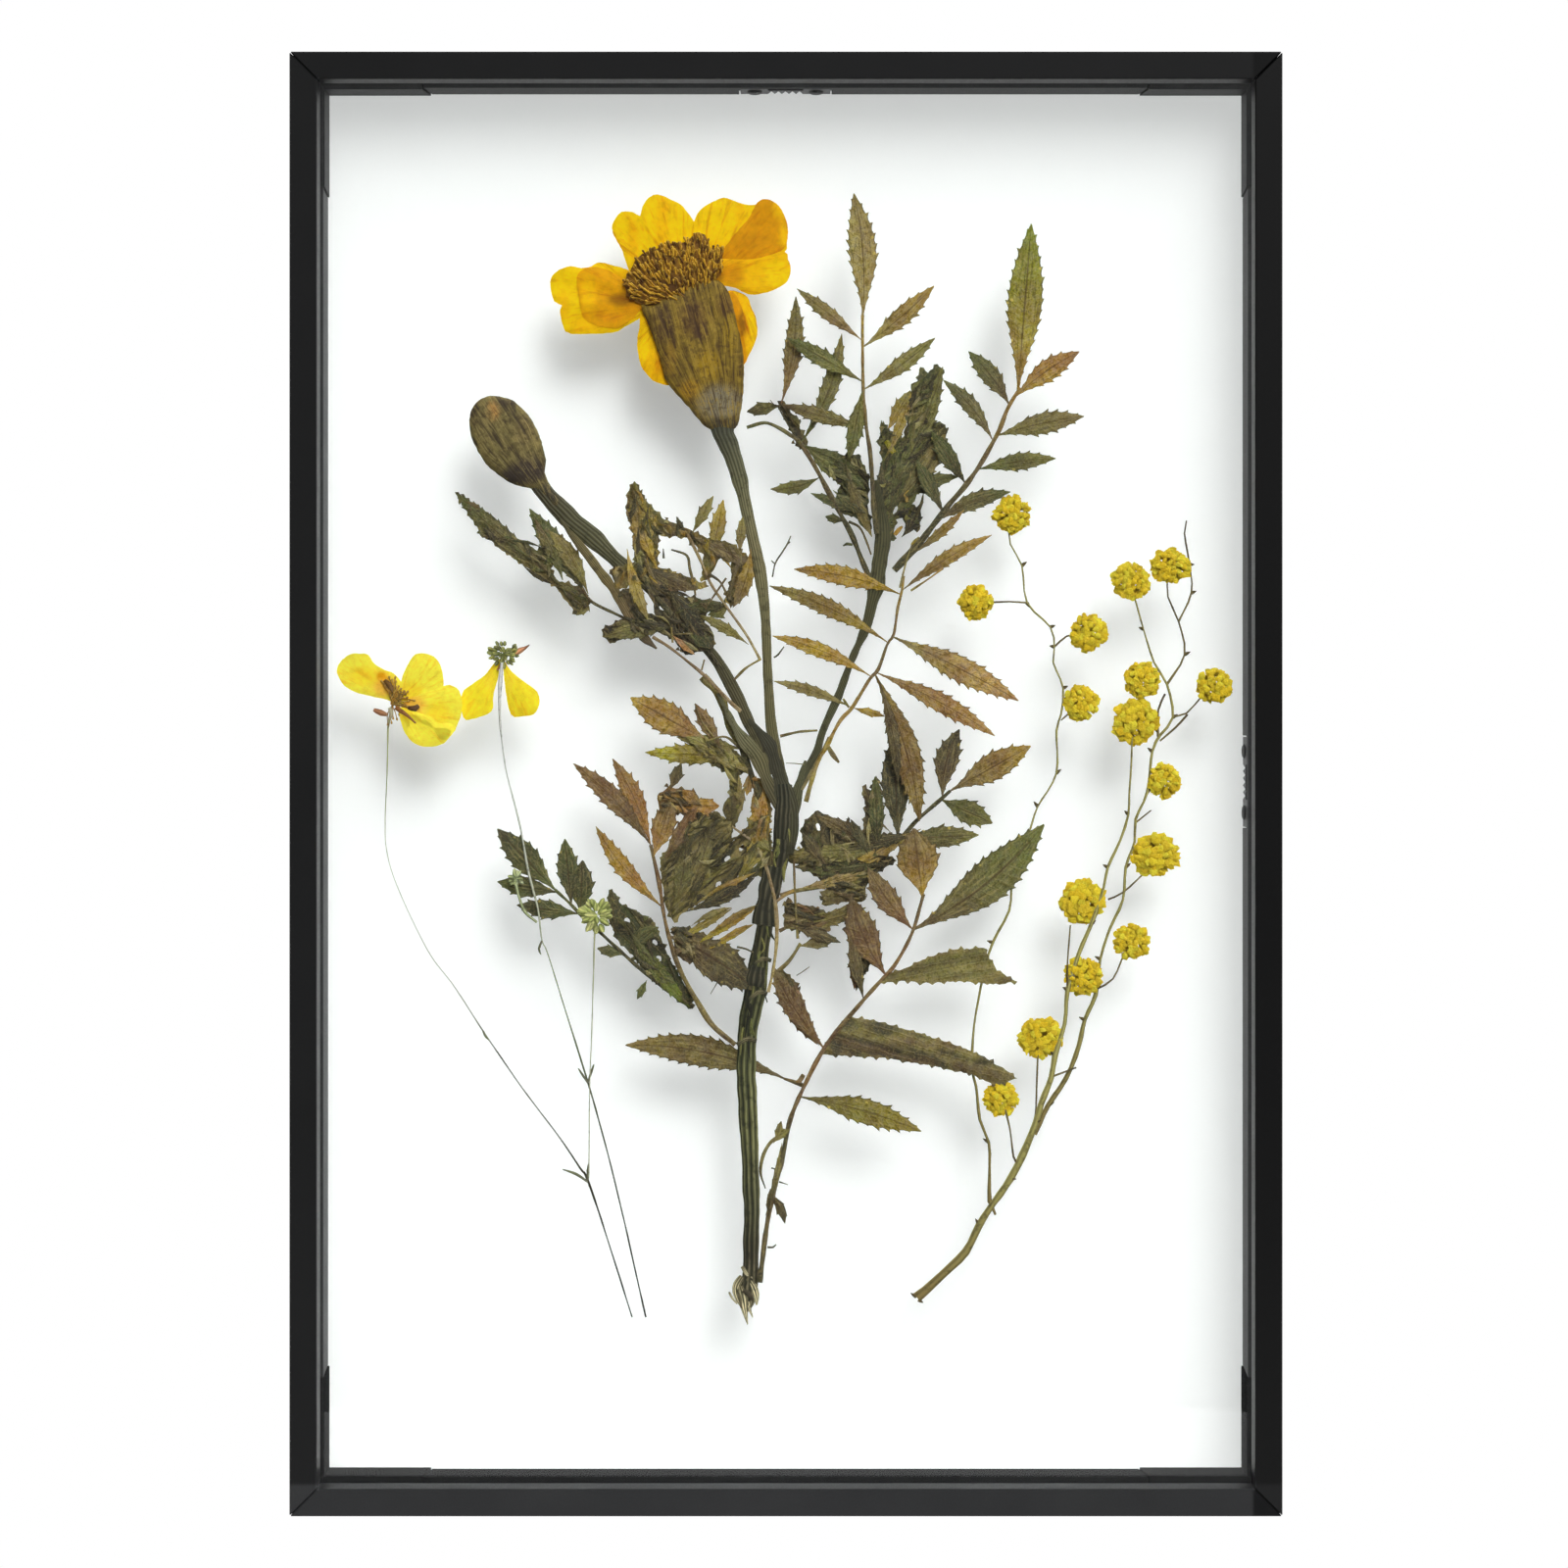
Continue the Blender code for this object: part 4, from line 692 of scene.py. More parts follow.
def petal_finish(name, deep, veins, vein_share):
    """A silky petal: fine veins from its base and soft mottling over its own tone."""
    material, tree, shader = new_finish(name)
    tint, spot, place = own_look(tree)
    lines = speck(tree, stretch(tree, place, veins, 1.6), 1.0, 3.0, 0.6, 0.4)
    thin_lines = speck(tree, stretch(tree, place, veins * 3.2, 2.5), 1.0, 2.0, 0.6)
    mottle = speck(tree, spot, 700.0, 3.0, 0.6)
    share = times(tree, spread(tree, lines, 0.50, 0.72), vein_share)
    colour = blend(tree, share, tint, (*deep, 1.0), "MULTIPLY")
    share = times(tree, spread(tree, thin_lines, 0.56, 0.70), vein_share * 0.5)
    colour = blend(tree, share, colour, (*deep, 1.0), "MULTIPLY")
    colour = put(tree, "ShaderNodeHueSaturation",
                 [("Value", spread(tree, mottle, 0.25, 0.75, 1.02, 1.24)), ("Color", colour)]).outputs[0]
    surface(tree, shader, colour, 0.6, 0.08, reckon(tree, "MULTIPLY_ADD", lines, 0.7, times(tree, thin_lines, 0.3)),
            0.35, 0.00025)
    return material


golden_petal = petal_finish("golden petal", tone(214, 146, 30), 16.0, 0.55)
bright = tone(255, 212, 6)
rich = tone(252, 196, 4)
amber = tone(226, 156, 6)
umber = tone(160, 106, 14)


def petal(name, outlines, base, depth, colour_at, pleats=9.0, seed=0, material=golden_petal,
          ending="_pressed"):
    """One petal, with any folded part of it lying in front."""
    sprig = Sprig()
    for number, outline in enumerate(outlines):
        def place_at(point, edge):
            away = point - Vector(base)
            return (math.atan2(away.y, away.x) / math.pi * 2.0, away.length / 60)

        def height_at(point, edge):
            away = point - Vector(base)
            turn = math.atan2(away.y, away.x)
            pleat = 0.10 * math.sin(turn * pleats + seed) * min(1.0, away.length / 60)
            wave = 0.22 * noise.noise(Vector((point.x * 0.03, point.y * 0.03, seed + number)))
            curl = -0.10 * max(0.0, 1 - edge / 6)
            return pleat + wave + curl, -(pleat + wave + curl)

        sheet(sprig, rounded(outline, 4.0), depth - 0.22 * number, 0.13, colour_at[number], place_at, height_at,
              pitch=4.0, spacing=3.0, jitter=0.25, seed=seed + number)
    grow(sprig, name + ending, material, [name])


petal("petal_top_left", [[(648, 286), (634, 254), (625, 237), (626, 225), (634, 216), (646, 216), (653, 220),
    (655, 211), (662, 201), (671, 198), (680, 201), (694, 208), (701, 216), (708, 226), (707, 237), (711, 252),
    (700, 275), (675, 285)]], (700, 300), 9.0, [painted_by(bright, [(700, 285, 60, 30, rich), (676, 222, 9, 40, rich),
    (646, 245, 8, 30, rich)])], seed=1)
petal("petal_top_right", [[(700, 272), (703, 240), (708, 226), (714, 214), (726, 206), (738, 201), (749, 204),
    (760, 208), (773, 208), (782, 203), (792, 208), (800, 219), (804, 232), (803, 245), (800, 258), (770, 278),
    (725, 284)], [(773, 206), (782, 203), (792, 207), (800, 218), (804, 232), (803, 246), (799, 254), (782, 262),
    (760, 270), (735, 275), (722, 274), (730, 264), (741, 250), (752, 236), (764, 222)]], (715, 290), 9.4,
    [painted_by(bright, [(735, 262, 22, 22, rich), (755, 215, 6, 20, rich)]),
    painted_by(amber, [(797, 212, 12, 16, rich), (728, 272, 22, 12, umber), (770, 246, 22, 12, tone(216, 148, 8)),
    (800, 240, 6, 20, rich)])], seed=4)
petal("petal_right", [[(712, 272), (728, 264), (740, 264), (770, 264), (800, 256), (804, 264), (807, 275), (803, 287),
    (791, 295), (775, 300), (763, 300), (751, 294), (742, 292), (722, 288)]], (705, 284), 8.85,
    [painted_by(rich, [(795, 280, 22, 20, bright), (725, 280, 26, 16, umber), (748, 280, 16, 20, amber)])], seed=6)
petal("petal_left", [[(561, 290), (563, 281), (570, 275), (582, 271), (593, 273), (603, 271), (610, 267), (625, 270),
    (641, 275), (662, 285), (670, 306), (656, 322), (637, 333), (625, 339), (582, 340), (574, 331), (571, 316),
    (573, 311), (565, 307)], [(589, 280), (603, 272), (622, 276), (645, 290), (664, 304), (652, 318), (634, 333),
    (618, 334), (604, 330), (594, 322), (590, 300)]], (672, 310), 9.4,
    [painted_by(bright, [(600, 330, 26, 12, rich), (640, 280, 22, 8, rich), (575, 312, 8, 20, rich)]),
    painted_by(tone(236, 170, 6), [(640, 305, 30, 9, umber), (648, 316, 20, 10, amber), (600, 300, 12, 26, rich),
    (622, 325, 20, 8, amber)])], pleats=16.0, seed=8)
petal("petal_lower_left", [[(658, 312), (652, 335), (650, 352), (654, 373), (663, 385), (670, 390), (684, 393),
    (704, 384), (694, 330)]], (695, 300), 9.0, [painted_by(rich, [(656, 350, 8, 30, bright),
    (680, 372, 16, 18, amber)])], seed=10)
petal("petal_lower_right", [[(738, 300), (760, 300), (767, 314), (771, 323), (773, 338), (769, 352), (764, 362),
    (759, 372), (742, 388), (732, 350)], [(744, 298), (752, 302), (762, 330), (766, 352), (762, 366), (757, 372),
    (752, 350), (747, 322)]], (745, 280), 9.4, [painted_by(rich, [(768, 335, 7, 26, bright),
    (750, 345, 9, 34, umber)]), painted_by(amber, [(757, 330, 5, 22, umber), (764, 350, 5, 18, rich)])], seed=13)


# The disc is a dense head of small brown florets that fan out from the top of the cup.
# Each floret is a short pressed tube with a flared, split mouth.
floret_finish = stem_finish("brown floret", 4, 0.4, (2.0, 2.2, 2.0), tone(96, 62, 18))
disc = Sprig()
dice = random.Random(21)
disc_outline = [(637, 290), (640, 301), (653, 310), (668, 312), (690, 304), (712, 292), (728, 286), (737, 276),
                (736, 262), (738, 254), (725, 252), (722, 243), (711, 237), (704, 244), (698, 247), (680, 249),
                (670, 254), (655, 259), (648, 268), (640, 280)]
sheet(disc, rounded(disc_outline, 4.0), 8.6, 0.4,
      painted_by(tone(140, 98, 28), [(690, 290, 30, 12, tone(100, 66, 22))]),
      lambda point, edge: (point.x / 60, point.y / 60), lambda point, edge: (0.3 * min(1, edge / 8), 0.2),
      pitch=5.0, jitter=1.2, seed=22)
count = 0
while count < 420:
    point = Vector((dice.uniform(636, 740), dice.uniform(236, 312)))
    if not inside(point, disc_outline):
        continue
    count += 1
    root = Vector((700 + (point.x - 690) * 0.55, 316 - (point.y - 280) * 0.1))
    ahead = (point - root).normalized() + Vector((dice.uniform(-0.35, 0.35), dice.uniform(-0.35, 0.35)))
    ahead.normalize()
    long = dice.uniform(5, 10)
    shade = dice.choice([tone(204, 152, 36), tone(170, 120, 28), tone(222, 170, 46), tone(100, 64, 18),
                         tone(206, 156, 40), tone(144, 98, 26)])
    light_tip = between(shade, tone(250, 206, 84), dice.uniform(0.2, 0.9))
    start = point - ahead * long * 0.5
    wide = dice.uniform(1.6, 2.6)
    strand(disc, [(start.x, start.y, wide * 0.8), (point.x, point.y, wide),
                  (*(point + ahead * long * 0.35), wide * 1.5), (*(point + ahead * long * 0.5), wide * 0.5)],
           dice.uniform(7.75, 8.35), 0.5, [shade, shade, light_tip], sides=6, seed=count, spacing=3.0)
grow(disc, "marigold_disc_pressed", floret_finish, ["marigold_disc"])


# The cup under the open flower is a tube of joined green bracts, dried to brown and olive streaks.
# It is pressed nearly flat, with a pale ribbed base where it meets the stalk.
def husk_finish(name, dark, light, along):
    """Long streaks from base to tip over the piece's own tone."""
    material, tree, shader = new_finish(name)
    tint, spot, place = own_look(tree)
    wide = speck(tree, stretch(tree, place, along, 3.0), 1.0, 4.0, 0.65, 1.2)
    fine = speck(tree, stretch(tree, place, along * 3, 4.0), 1.0, 3.0, 0.6, 0.8)
    mottle = speck(tree, spot, 650.0, 4.0, 0.65)
    pores = speck(tree, spot, 1500.0, 2.0, 0.6)
    colour = tint
    for pattern, low, high, strength, shade in (
            (wide, 0.50, 0.66, 0.65, light), (wide, 0.50, 0.34, 0.80, dark), (fine, 0.53, 0.64, 0.6, dark),
            (mottle, 0.52, 0.64, 0.5, dark), (mottle, 0.46, 0.34, 0.4, light), (pores, 0.60, 0.70, 0.5, dark)):
        colour = wash(tree, colour, spread(tree, pattern, low, high), strength, shade)
    surface(tree, shader, colour, 0.6, 0.25, reckon(tree, "MULTIPLY_ADD", fine, -0.6, wide), 0.5, 0.0004)
    return material


def husk(name, outline, base, top, half_width, depth, bulge, colour_at, material, seed):
    """A pressed hollow husk, swollen in the middle, with streaks from its base to its top."""
    sprig = Sprig()
    foot = Vector(base)
    ahead = (Vector(top) - foot).normalized()
    side = Vector((-ahead.y, ahead.x))
    reach = (Vector(top) - foot).length

    def place_at(point, edge):
        away = point - foot
        share = away.dot(ahead) / reach
        return (away.dot(side) / (half_width * 2 * (0.35 + 0.65 * min(1, max(0, share * 1.6)))) + 0.5, share)

    def height_at(point, edge):
        swell = bulge * math.sqrt(max(0.0, 1 - (1 - min(1.0, edge / (half_width * 0.8))) ** 2))
        across = place_at(point, edge)[0]
        rib = 0.06 * math.sin(across * 60 + seed) * min(1, edge / 4)
        return swell + rib, swell

    sheet(sprig, rounded(outline, 4.0), depth, 0.3, colour_at, place_at, height_at, pitch=3.2, spacing=3.0,
          jitter=0.4, seed=seed)
    grow(sprig, name + "_pressed", material, [name])


husk("marigold_cup", [(654, 312), (663, 335), (672, 361), (679, 387), (692, 404), (703, 416), (711, 426), (722, 437),
    (736, 440), (750, 437), (755, 424), (758, 404), (759, 378), (757, 352), (751, 326), (745, 302), (736, 288),
    (722, 286), (706, 292), (680, 303), (666, 312)], (738, 440), (698, 290), 48, 8.35, 0.75,
    painted_by(tone(138, 112, 34), [(708, 325, 22, 26, tone(126, 96, 44)), (676, 332, 18, 26, tone(104, 80, 40)),
    (716, 338, 10, 14, tone(96, 68, 40)), (722, 374, 18, 22, tone(178, 142, 22)),
    (745, 340, 10, 34, tone(168, 136, 26)), (684, 366, 10, 24, tone(150, 116, 34)),
    (704, 398, 14, 14, tone(196, 150, 30)), (740, 312, 12, 16, tone(120, 90, 34)),
    (735, 412, 32, 26, tone(150, 140, 112)), (738, 434, 26, 12, tone(72, 70, 58))]),
    husk_finish("streaked cup", tone(66, 44, 26), tone(186, 154, 58), 22.0), 31)


# The closed bud is an egg of overlapping bracts, olive brown with fine dark streaks and a dark foot.
# It is pressed flat on its stalk, with one orange streak near the tip where a petal shows.
husk("marigold_bud", [(479, 428), (483, 415), (491, 407), (501, 404), (511, 405), (525, 410), (536, 420), (544, 431),
    (550, 443), (554, 456), (557, 469), (556, 482), (562, 497), (572, 512), (566, 520), (556, 508), (546, 500),
    (534, 497), (521, 493), (508, 484), (498, 476), (488, 461), (481, 445)], (562, 512), (496, 406), 36, 8.35, 0.85,
    painted_by(tone(130, 116, 66), [(503, 420, 9, 14, tone(202, 152, 78)), (495, 440, 10, 30, tone(142, 126, 74)),
    (535, 440, 14, 26, tone(120, 104, 62)), (540, 480, 26, 20, tone(70, 58, 50)),
    (528, 486, 26, 12, tone(66, 56, 48)), (560, 505, 18, 16, tone(70, 66, 52)), (483, 420, 7, 24, tone(98, 84, 50)),
    (520, 410, 20, 6, tone(84, 70, 44))]), husk_finish("streaked bud", tone(58, 46, 32), tone(170, 150, 88), 16.0),
    37)


# The marigold's leaves are thin and divided: leaflets with a midrib, side veins, forward-pointing spines
# along their margins and small bright oil glands, on a thin rachis. They dried olive, golden brown and rust.
olive = tone(122, 116, 62)
green = tone(92, 100, 56)
dark = tone(72, 70, 50)
khaki = tone(146, 132, 78)
gold = tone(178, 144, 66)
orange = tone(186, 142, 76)
rust = tone(140, 106, 70)
brown = tone(112, 94, 64)
yellow = tone(172, 156, 54)
soot = tone(44, 43, 37)
TOOTH_PITCH = 10.5
TOOTH_ROWS = (0.0, 0.22, 0.38, 0.5, 0.72, 0.88)
TOOTH_RISE = ({0.38: 1.0, 0.22: 0.38, 0.5: -0.22, 0.72: -0.10, 0.88: 0.0, 0.0: 0.14},
              {0.88: 1.0, 0.72: 0.38, 0.0: -0.22, 0.22: -0.10, 0.38: 0.0, 0.5: 0.14})
LEAF_PROFILE = [(0.0, 0.05), (0.08, 0.12), (0.20, 0.36), (0.32, 0.68), (0.44, 0.93), (0.54, 1.0), (0.66, 0.93),
                (0.78, 0.70), (0.88, 0.42), (0.95, 0.20), (1.0, 0.03)]


def leaf_finish(name):
    """Midrib, side veins, pores and glands over each leaflet's own tone."""
    material, tree, shader = new_finish(name)
    tint = put(tree, "ShaderNodeAttribute", attribute_name="tone")
    spot = put(tree, "ShaderNodeTexCoord").outputs["Object"]
    place = put(tree, "ShaderNodeUVMap", uv_map="surface").outputs[0]
    parts = put(tree, "ShaderNodeSeparateXYZ", [(0, place)])
    off = reckon(tree, "ABSOLUTE", reckon(tree, "SUBTRACT", parts.outputs[0], 0.5))
    wander = speck(tree, spot, 900.0, 3.0, 0.6)
    cloud = speck(tree, spot, 210.0, 3.0, 0.6)
    fine = speck(tree, spot, 2600.0, 3.0, 0.65)
    stretched = put(tree, "ShaderNodeMapping", [(0, place), (3, (9.0, 3.0, 1.0)), (2, (0.0, 0.0, 0.5))]).outputs[0]
    streaks = speck(tree, stretched, 1.6, 3.0, 0.6, 0.4)
    midrib = spread(tree, off, 0.010, 0.045, 1.0, 0.0)
    lean = reckon(tree, "MULTIPLY_ADD", off, -2.4, times(tree, parts.outputs[1], 10.5))
    phase = reckon(tree, "PINGPONG", reckon(tree, "MULTIPLY_ADD", wander, 0.9, lean), 0.5)
    veins = times(tree, spread(tree, phase, 0.02, 0.13, 1.0, 0.0), spread(tree, off, 0.03, 0.08))
    colour = put(tree, "ShaderNodeHueSaturation", [
        ("Hue", spread(tree, cloud, 0.3, 0.7, 0.485, 0.515)),
        ("Saturation", spread(tree, wander, 0.3, 0.7, 0.85, 1.15)),
        ("Value", spread(tree, cloud, 0.28, 0.72, 0.95, 1.5)), ("Color", tint.outputs["Color"])]).outputs[0]
    for where, shade in ((spread(tree, streaks, 0.50, 0.66, 0.0, 0.50), tone(62, 54, 36)),
                         (spread(tree, wander, 0.52, 0.64, 0.0, 0.34), tone(58, 52, 36)),
                         (spread(tree, fine, 0.54, 0.63, 0.0, 0.50), soot),
                         (spread(tree, streaks, 0.48, 0.32, 0.0, 0.34), tone(206, 184, 116)),
                         (spread(tree, fine, 0.46, 0.34, 0.0, 0.25), tone(206, 184, 116)),
                         (times(tree, veins, 0.16), tone(184, 164, 104)),
                         (times(tree, midrib, 0.62), tone(74, 50, 34)),
                         (spread(tree, off, 0.44, 0.50, 0.0, 0.72), tone(50, 46, 32))):
        colour = blend(tree, where, colour, (*shade, 1.0))
    dots = put(tree, "ShaderNodeTexVoronoi", [("Vector", spot), ("Scale", 430.0)])
    glands = times(tree, spread(tree, dots.outputs["Distance"], 0.10, 0.20, 1.0, 0.0),
                   times(tree, tint.outputs["Alpha"], spread(tree, off, 0.30, 0.38)))
    colour = blend(tree, glands, colour, (*tone(238, 212, 104), 1.0))
    height = reckon(tree, "MULTIPLY_ADD", veins, 0.8, times(tree, wander, 0.8))
    height = reckon(tree, "MULTIPLY_ADD", fine, 0.5, height)
    surface(tree, shader, colour, spread(tree, glands, 0.0, 1.0, 0.58, 0.3), 0.25,
            reckon(tree, "MULTIPLY_ADD", glands, 0.6, height), 0.6, 0.0003)
    return material


dried_leaf = leaf_finish("dried leaf")


def profile_at(share):
    for (first, low), (second, high) in zip(LEAF_PROFILE, LEAF_PROFILE[1:]):
        if share <= second:
            return low + (high - low) * (share - first) / (second - first)
    return LEAF_PROFILE[-1][1]


def blade(sprig, base, tip, width, bow, depth, colours, seed, glands=0.3, crumple=0.2):
    """One leaflet from its base to its tip, with a raised midrib, spines and a gently uneven face."""
    dice = random.Random(seed)
    start = Vector(base)
    along = Vector(tip) - start
    ahead = along.normalized()
    side = Vector((-ahead.y, ahead.x))
    teeth = max(3, round(along.length / TOOTH_PITCH))
    steps = [(tooth + part) / teeth for tooth in range(teeth) for part in TOOTH_ROWS] + [1.0]
    rises = [[dice.uniform(0.55, 1.35) for _ in range(teeth + 1)] for _ in range(2)]
    tilt = dice.uniform(-0.12, 0.12)
    shade = dice.uniform(0.88, 1.12)
    grid = []
    for row, share in enumerate(steps):
        middle = start + along * share + side * (bow * 4 * share * (1 - share))
        half = width / 2 * profile_at(share)
        colour = tuple(value * shade for value in between(colours[0], colours[-1], share))
        line = []
        for column in range(-3, 4):
            across = column / 3 * half
            forward = 0.0
            if abs(column) == 3 and 0 < row < len(steps) - 1:
                hand = 0 if column < 0 else 1
                part = TOOTH_ROWS[row % len(TOOTH_ROWS)]
                size = rises[hand][row // len(TOOTH_ROWS)] * min(1.0, half / 4) * min(1.0, 0.35 + half / 14)
                across += math.copysign(TOOTH_RISE[hand][part] * 3.0 * size, column)
                forward = 2.4 * size if TOOTH_RISE[hand][part] > 0.9 else 0.0
            place = middle + side * across + ahead * forward
            wave = crumple * noise.noise(Vector((place.x * 0.045, place.y * 0.045, seed * 0.37)))
            lean = tilt * column / 3
            ridge = (0.10, 0.0, 0.02, 0.0)[abs(column)] * min(1.0, half / 4)
            pucker = 0.03 * math.sin((row - 1.5 * abs(column)) * math.pi / 3) if abs(column) in (1, 2) else 0.0
            thick = (0.09, 0.07, 0.06, 0.025)[abs(column)]
            height = depth + wave + lean - pucker
            front = sprig.corner(plan(place.x, place.y, height - thick - ridge), colour, glands)
            back = sprig.corner(plan(place.x, place.y, height + thick + ridge), colour, glands)
            line.append((front, back, (0.5 + column / 6, share * along.length / 100 + seed * 0.13)))
        grid.append(line)
    for first, second in zip(grid, grid[1:]):
        for one, two, three, four in zip(first, first[1:], second[1:], second):
            sprig.face((one[0], two[0], three[0], four[0]), (one[2], two[2], three[2], four[2]))
            sprig.face((four[1], three[1], two[1], one[1]), (four[2], three[2], two[2], one[2]))
        for one, two in ((first[-1], second[-1]), (second[0], first[0])):
            sprig.face((one[0], one[1], two[1], two[0]), (one[2], one[2], two[2], two[2]))
    for line in (grid[0], list(reversed(grid[-1]))):
        for one, two in zip(line, line[1:]):
            sprig.face((two[0], one[0], one[1], two[1]), (two[2], one[2], one[2], two[2]))


def joint_on(line, point, reach):
    """The nearest point of the rachis, where it is near enough."""
    target = Vector(point)
    best = target
    nearest = reach
    for first, second in zip(line, line[1:]):
        start = Vector(first)
        along = Vector(second) - start
        share = max(0.0, min(1.0, (target - start).dot(along) / along.length_squared))
        place = start + along * share
        if (place - target).length < nearest:
            nearest = (place - target).length
            best = place
    return tuple(best)


def crumpled(sprig, outline, depth, colours, lie, seed, spikes=2.2, rough=0.3, glands=0.0, holes=()):
    """A crushed part of a leaf whose folds run along the direction lie."""
    ahead = Vector(lie).normalized()
    side = Vector((-ahead.y, ahead.x))

    def colour_at(point, edge):
        value = noise.noise(Vector((point.dot(ahead) * 0.03, point.dot(side) * 0.11, seed * 1.7))) * 0.9 + 0.5
        value = max(0.0, min(0.999, value)) * (len(colours) - 1)
        return between(colours[int(value)], colours[int(value) + 1], value - int(value))

    def height_at(point, edge):
        fold = noise.noise(Vector((point.dot(ahead) * 0.03, point.dot(side) * 0.16, seed + 5.0)))
        rise = rough * fold * min(1.0, 0.4 + edge / 6)
        return rise, -rise

    sheet(sprig, outline, depth, 0.14, colour_at, lambda point, edge: (0.25, point.dot(side) / 80 + seed * 0.31),
          height_at, pitch=4.0, spacing=3.0, jitter=0.7, spikes=spikes, seed=seed, glands=glands, holes=holes)


def torn_through(outline, gaps, lie, seed):
    """Small long holes at those of the given places that lie well inside an outline."""
    dice = random.Random(seed)
    rim = [Vector(point) for point in outline]
    ahead = Vector(lie).normalized()
    side = Vector((-ahead.y, ahead.x))
    holes = []
    for gap in gaps:
        long, wide = dice.uniform(3.0, 5.0), dice.uniform(1.8, 2.6)
        if inside(gap, outline) and off_edge(Vector(gap), rim) > long + 1:
            holes.append([tuple(Vector(gap) + ahead * long * math.cos(turn) + side * wide * math.sin(turn))
                          for turn in (math.pi * step / 4 for step in range(8))])
    return holes


AREA_PER_LEAFLET = 46


def tangle(sprig, outline, depth, colours, lie, seed, gaps):
    """Rolled and torn leaflets that lie over each other inside an outline, most of them along one direction."""
    dice = random.Random(seed)
    left, right = (pick(point[0] for point in outline) for pick in (min, max))
    top, bottom = (pick(point[1] for point in outline) for pick in (min, max))
    total = len(outline)
    area = abs(sum(outline[i][0] * outline[(i + 1) % total][1] - outline[(i + 1) % total][0] * outline[i][1]
                   for i in range(total))) / 2
    made = 0
    while made < area / AREA_PER_LEAFLET:
        point = Vector((dice.uniform(left, right), dice.uniform(top, bottom)))
        if not inside(point, outline):
            continue
        made += 1
        turn = math.atan2(lie[1], lie[0]) + dice.gauss(0.0, 0.36)
        ahead = Vector((math.cos(turn), math.sin(turn))) * dice.choice((-1, 1))
        reach = dice.uniform(14, 46)
        while reach > 6 and not (inside(point + ahead * reach / 2, outline)
                                 and inside(point - ahead * reach / 2, outline)):
            reach *= 0.8
        first = point - ahead * reach / 2
        second = point + ahead * reach / 2
        if any(off_edge(Vector(gap), [first, second]) < 4.5 for gap in gaps):
            continue
        shades = [dice.choice(colours), dice.choice(colours)]
        chance = dice.random()
        if chance < 0.16:
            shades = [between(shade, tone(190, 176, 116), 0.45) for shade in shades]
        elif chance < 0.52:
            shades = [between(shade, soot, 0.7) for shade in shades]
        blade(sprig, first, second, dice.uniform(1.8, 5.5), dice.uniform(-4, 4), depth - dice.uniform(0.0, 0.4),
              shades, seed * 50 + made, 0.05, 0.3)


def leaf(name, depth, rachis, leaflets, patches=(), folds=(), threads=(), gaps=(), width=4.5,
         tones=(brown, olive), seed=1, tangled=True):
    """A divided leaf: its rachis, then its leaflets, crushed parts and loose folds in front of them."""
    sprig = Sprig()
    line = [(*point, width * (1.15 - 0.5 * number / len(rachis))) for number, point in enumerate(rachis)]
    strand(sprig, line, depth, 0.5, list(tones), sides=10, uneven=0.35, seed=seed)
    for number, (base, tip, across, bow, first, last, *glands) in enumerate(leaflets):
        lift = 0.05 * ((number * 7) % 5 - 2)
        joint = joint_on(rachis, base, 18)
        blade(sprig, joint, tip, across * 1.04, bow, depth + lift, (first, last), seed * 20 + number,
              *(glands or [0.35]))
    for number, (outline, colours, lie) in enumerate(patches):
        holes = torn_through(outline, gaps, lie, seed * 9 + number)
        # The crushed parts' sheet is darkened towards soot, most under a tangle: painted shade in the gaps between
        # leaflets.
        deep = [between(shade, soot, 0.35 if tangled else 0.1) for shade in colours]
        crumpled(sprig, outline, depth + 0.12 + 0.04 * number, deep, lie, seed * 20 + 60 + number, holes=holes)
        if tangled:
            tangle(sprig, outline, depth - 0.05, colours, lie, seed * 7 + number, gaps)
    for number, (points, first, last) in enumerate(threads):
        strand(sprig, points, depth - 0.30 - 0.04 * (number % 3), 0.28, [first, last], sides=8, uneven=0.35,
               seed=seed + number, spacing=3.0)
    for number, (base, tip, across, bow, first, last) in enumerate(folds):
        blade(sprig, base, tip, across, bow, depth - 0.22 - 0.05 * (number % 4), (first, last),
              seed * 20 + 80 + number, 0.05, 0.4)
    grow(sprig, name + "_pressed", dried_leaf, [name])


# Upper leaves, on the side branch: three with open leaflets and one curled up and crushed.
# The open leaflets stand to both sides of their rachis, and one lies at its end.
leaf("leaf_upper_middle", 7.75, [(895, 545), (891, 508), (889, 480), (887, 459), (884, 438), (881, 403), (880, 366),
    (880, 322)], [((880, 325), (871, 198), 26, 5, tone(176, 150, 92), tone(178, 162, 96), 0.5),
    ((878, 348), (813, 295), 13, 0, rust, olive, 0.6), ((883, 355), (953, 292), 17, 2, khaki, gold, 0.8),
    ((885, 398), (954, 345), 15, 2, khaki, olive, 0.6), ((879, 390), (803, 345), 16, 0, olive, green),
    ((883, 396), (866, 470), 15, 0, olive, green), ((883, 438), (798, 413), 14, 0, olive, brown)],
    tones=(dark, brown, gold), seed=1)
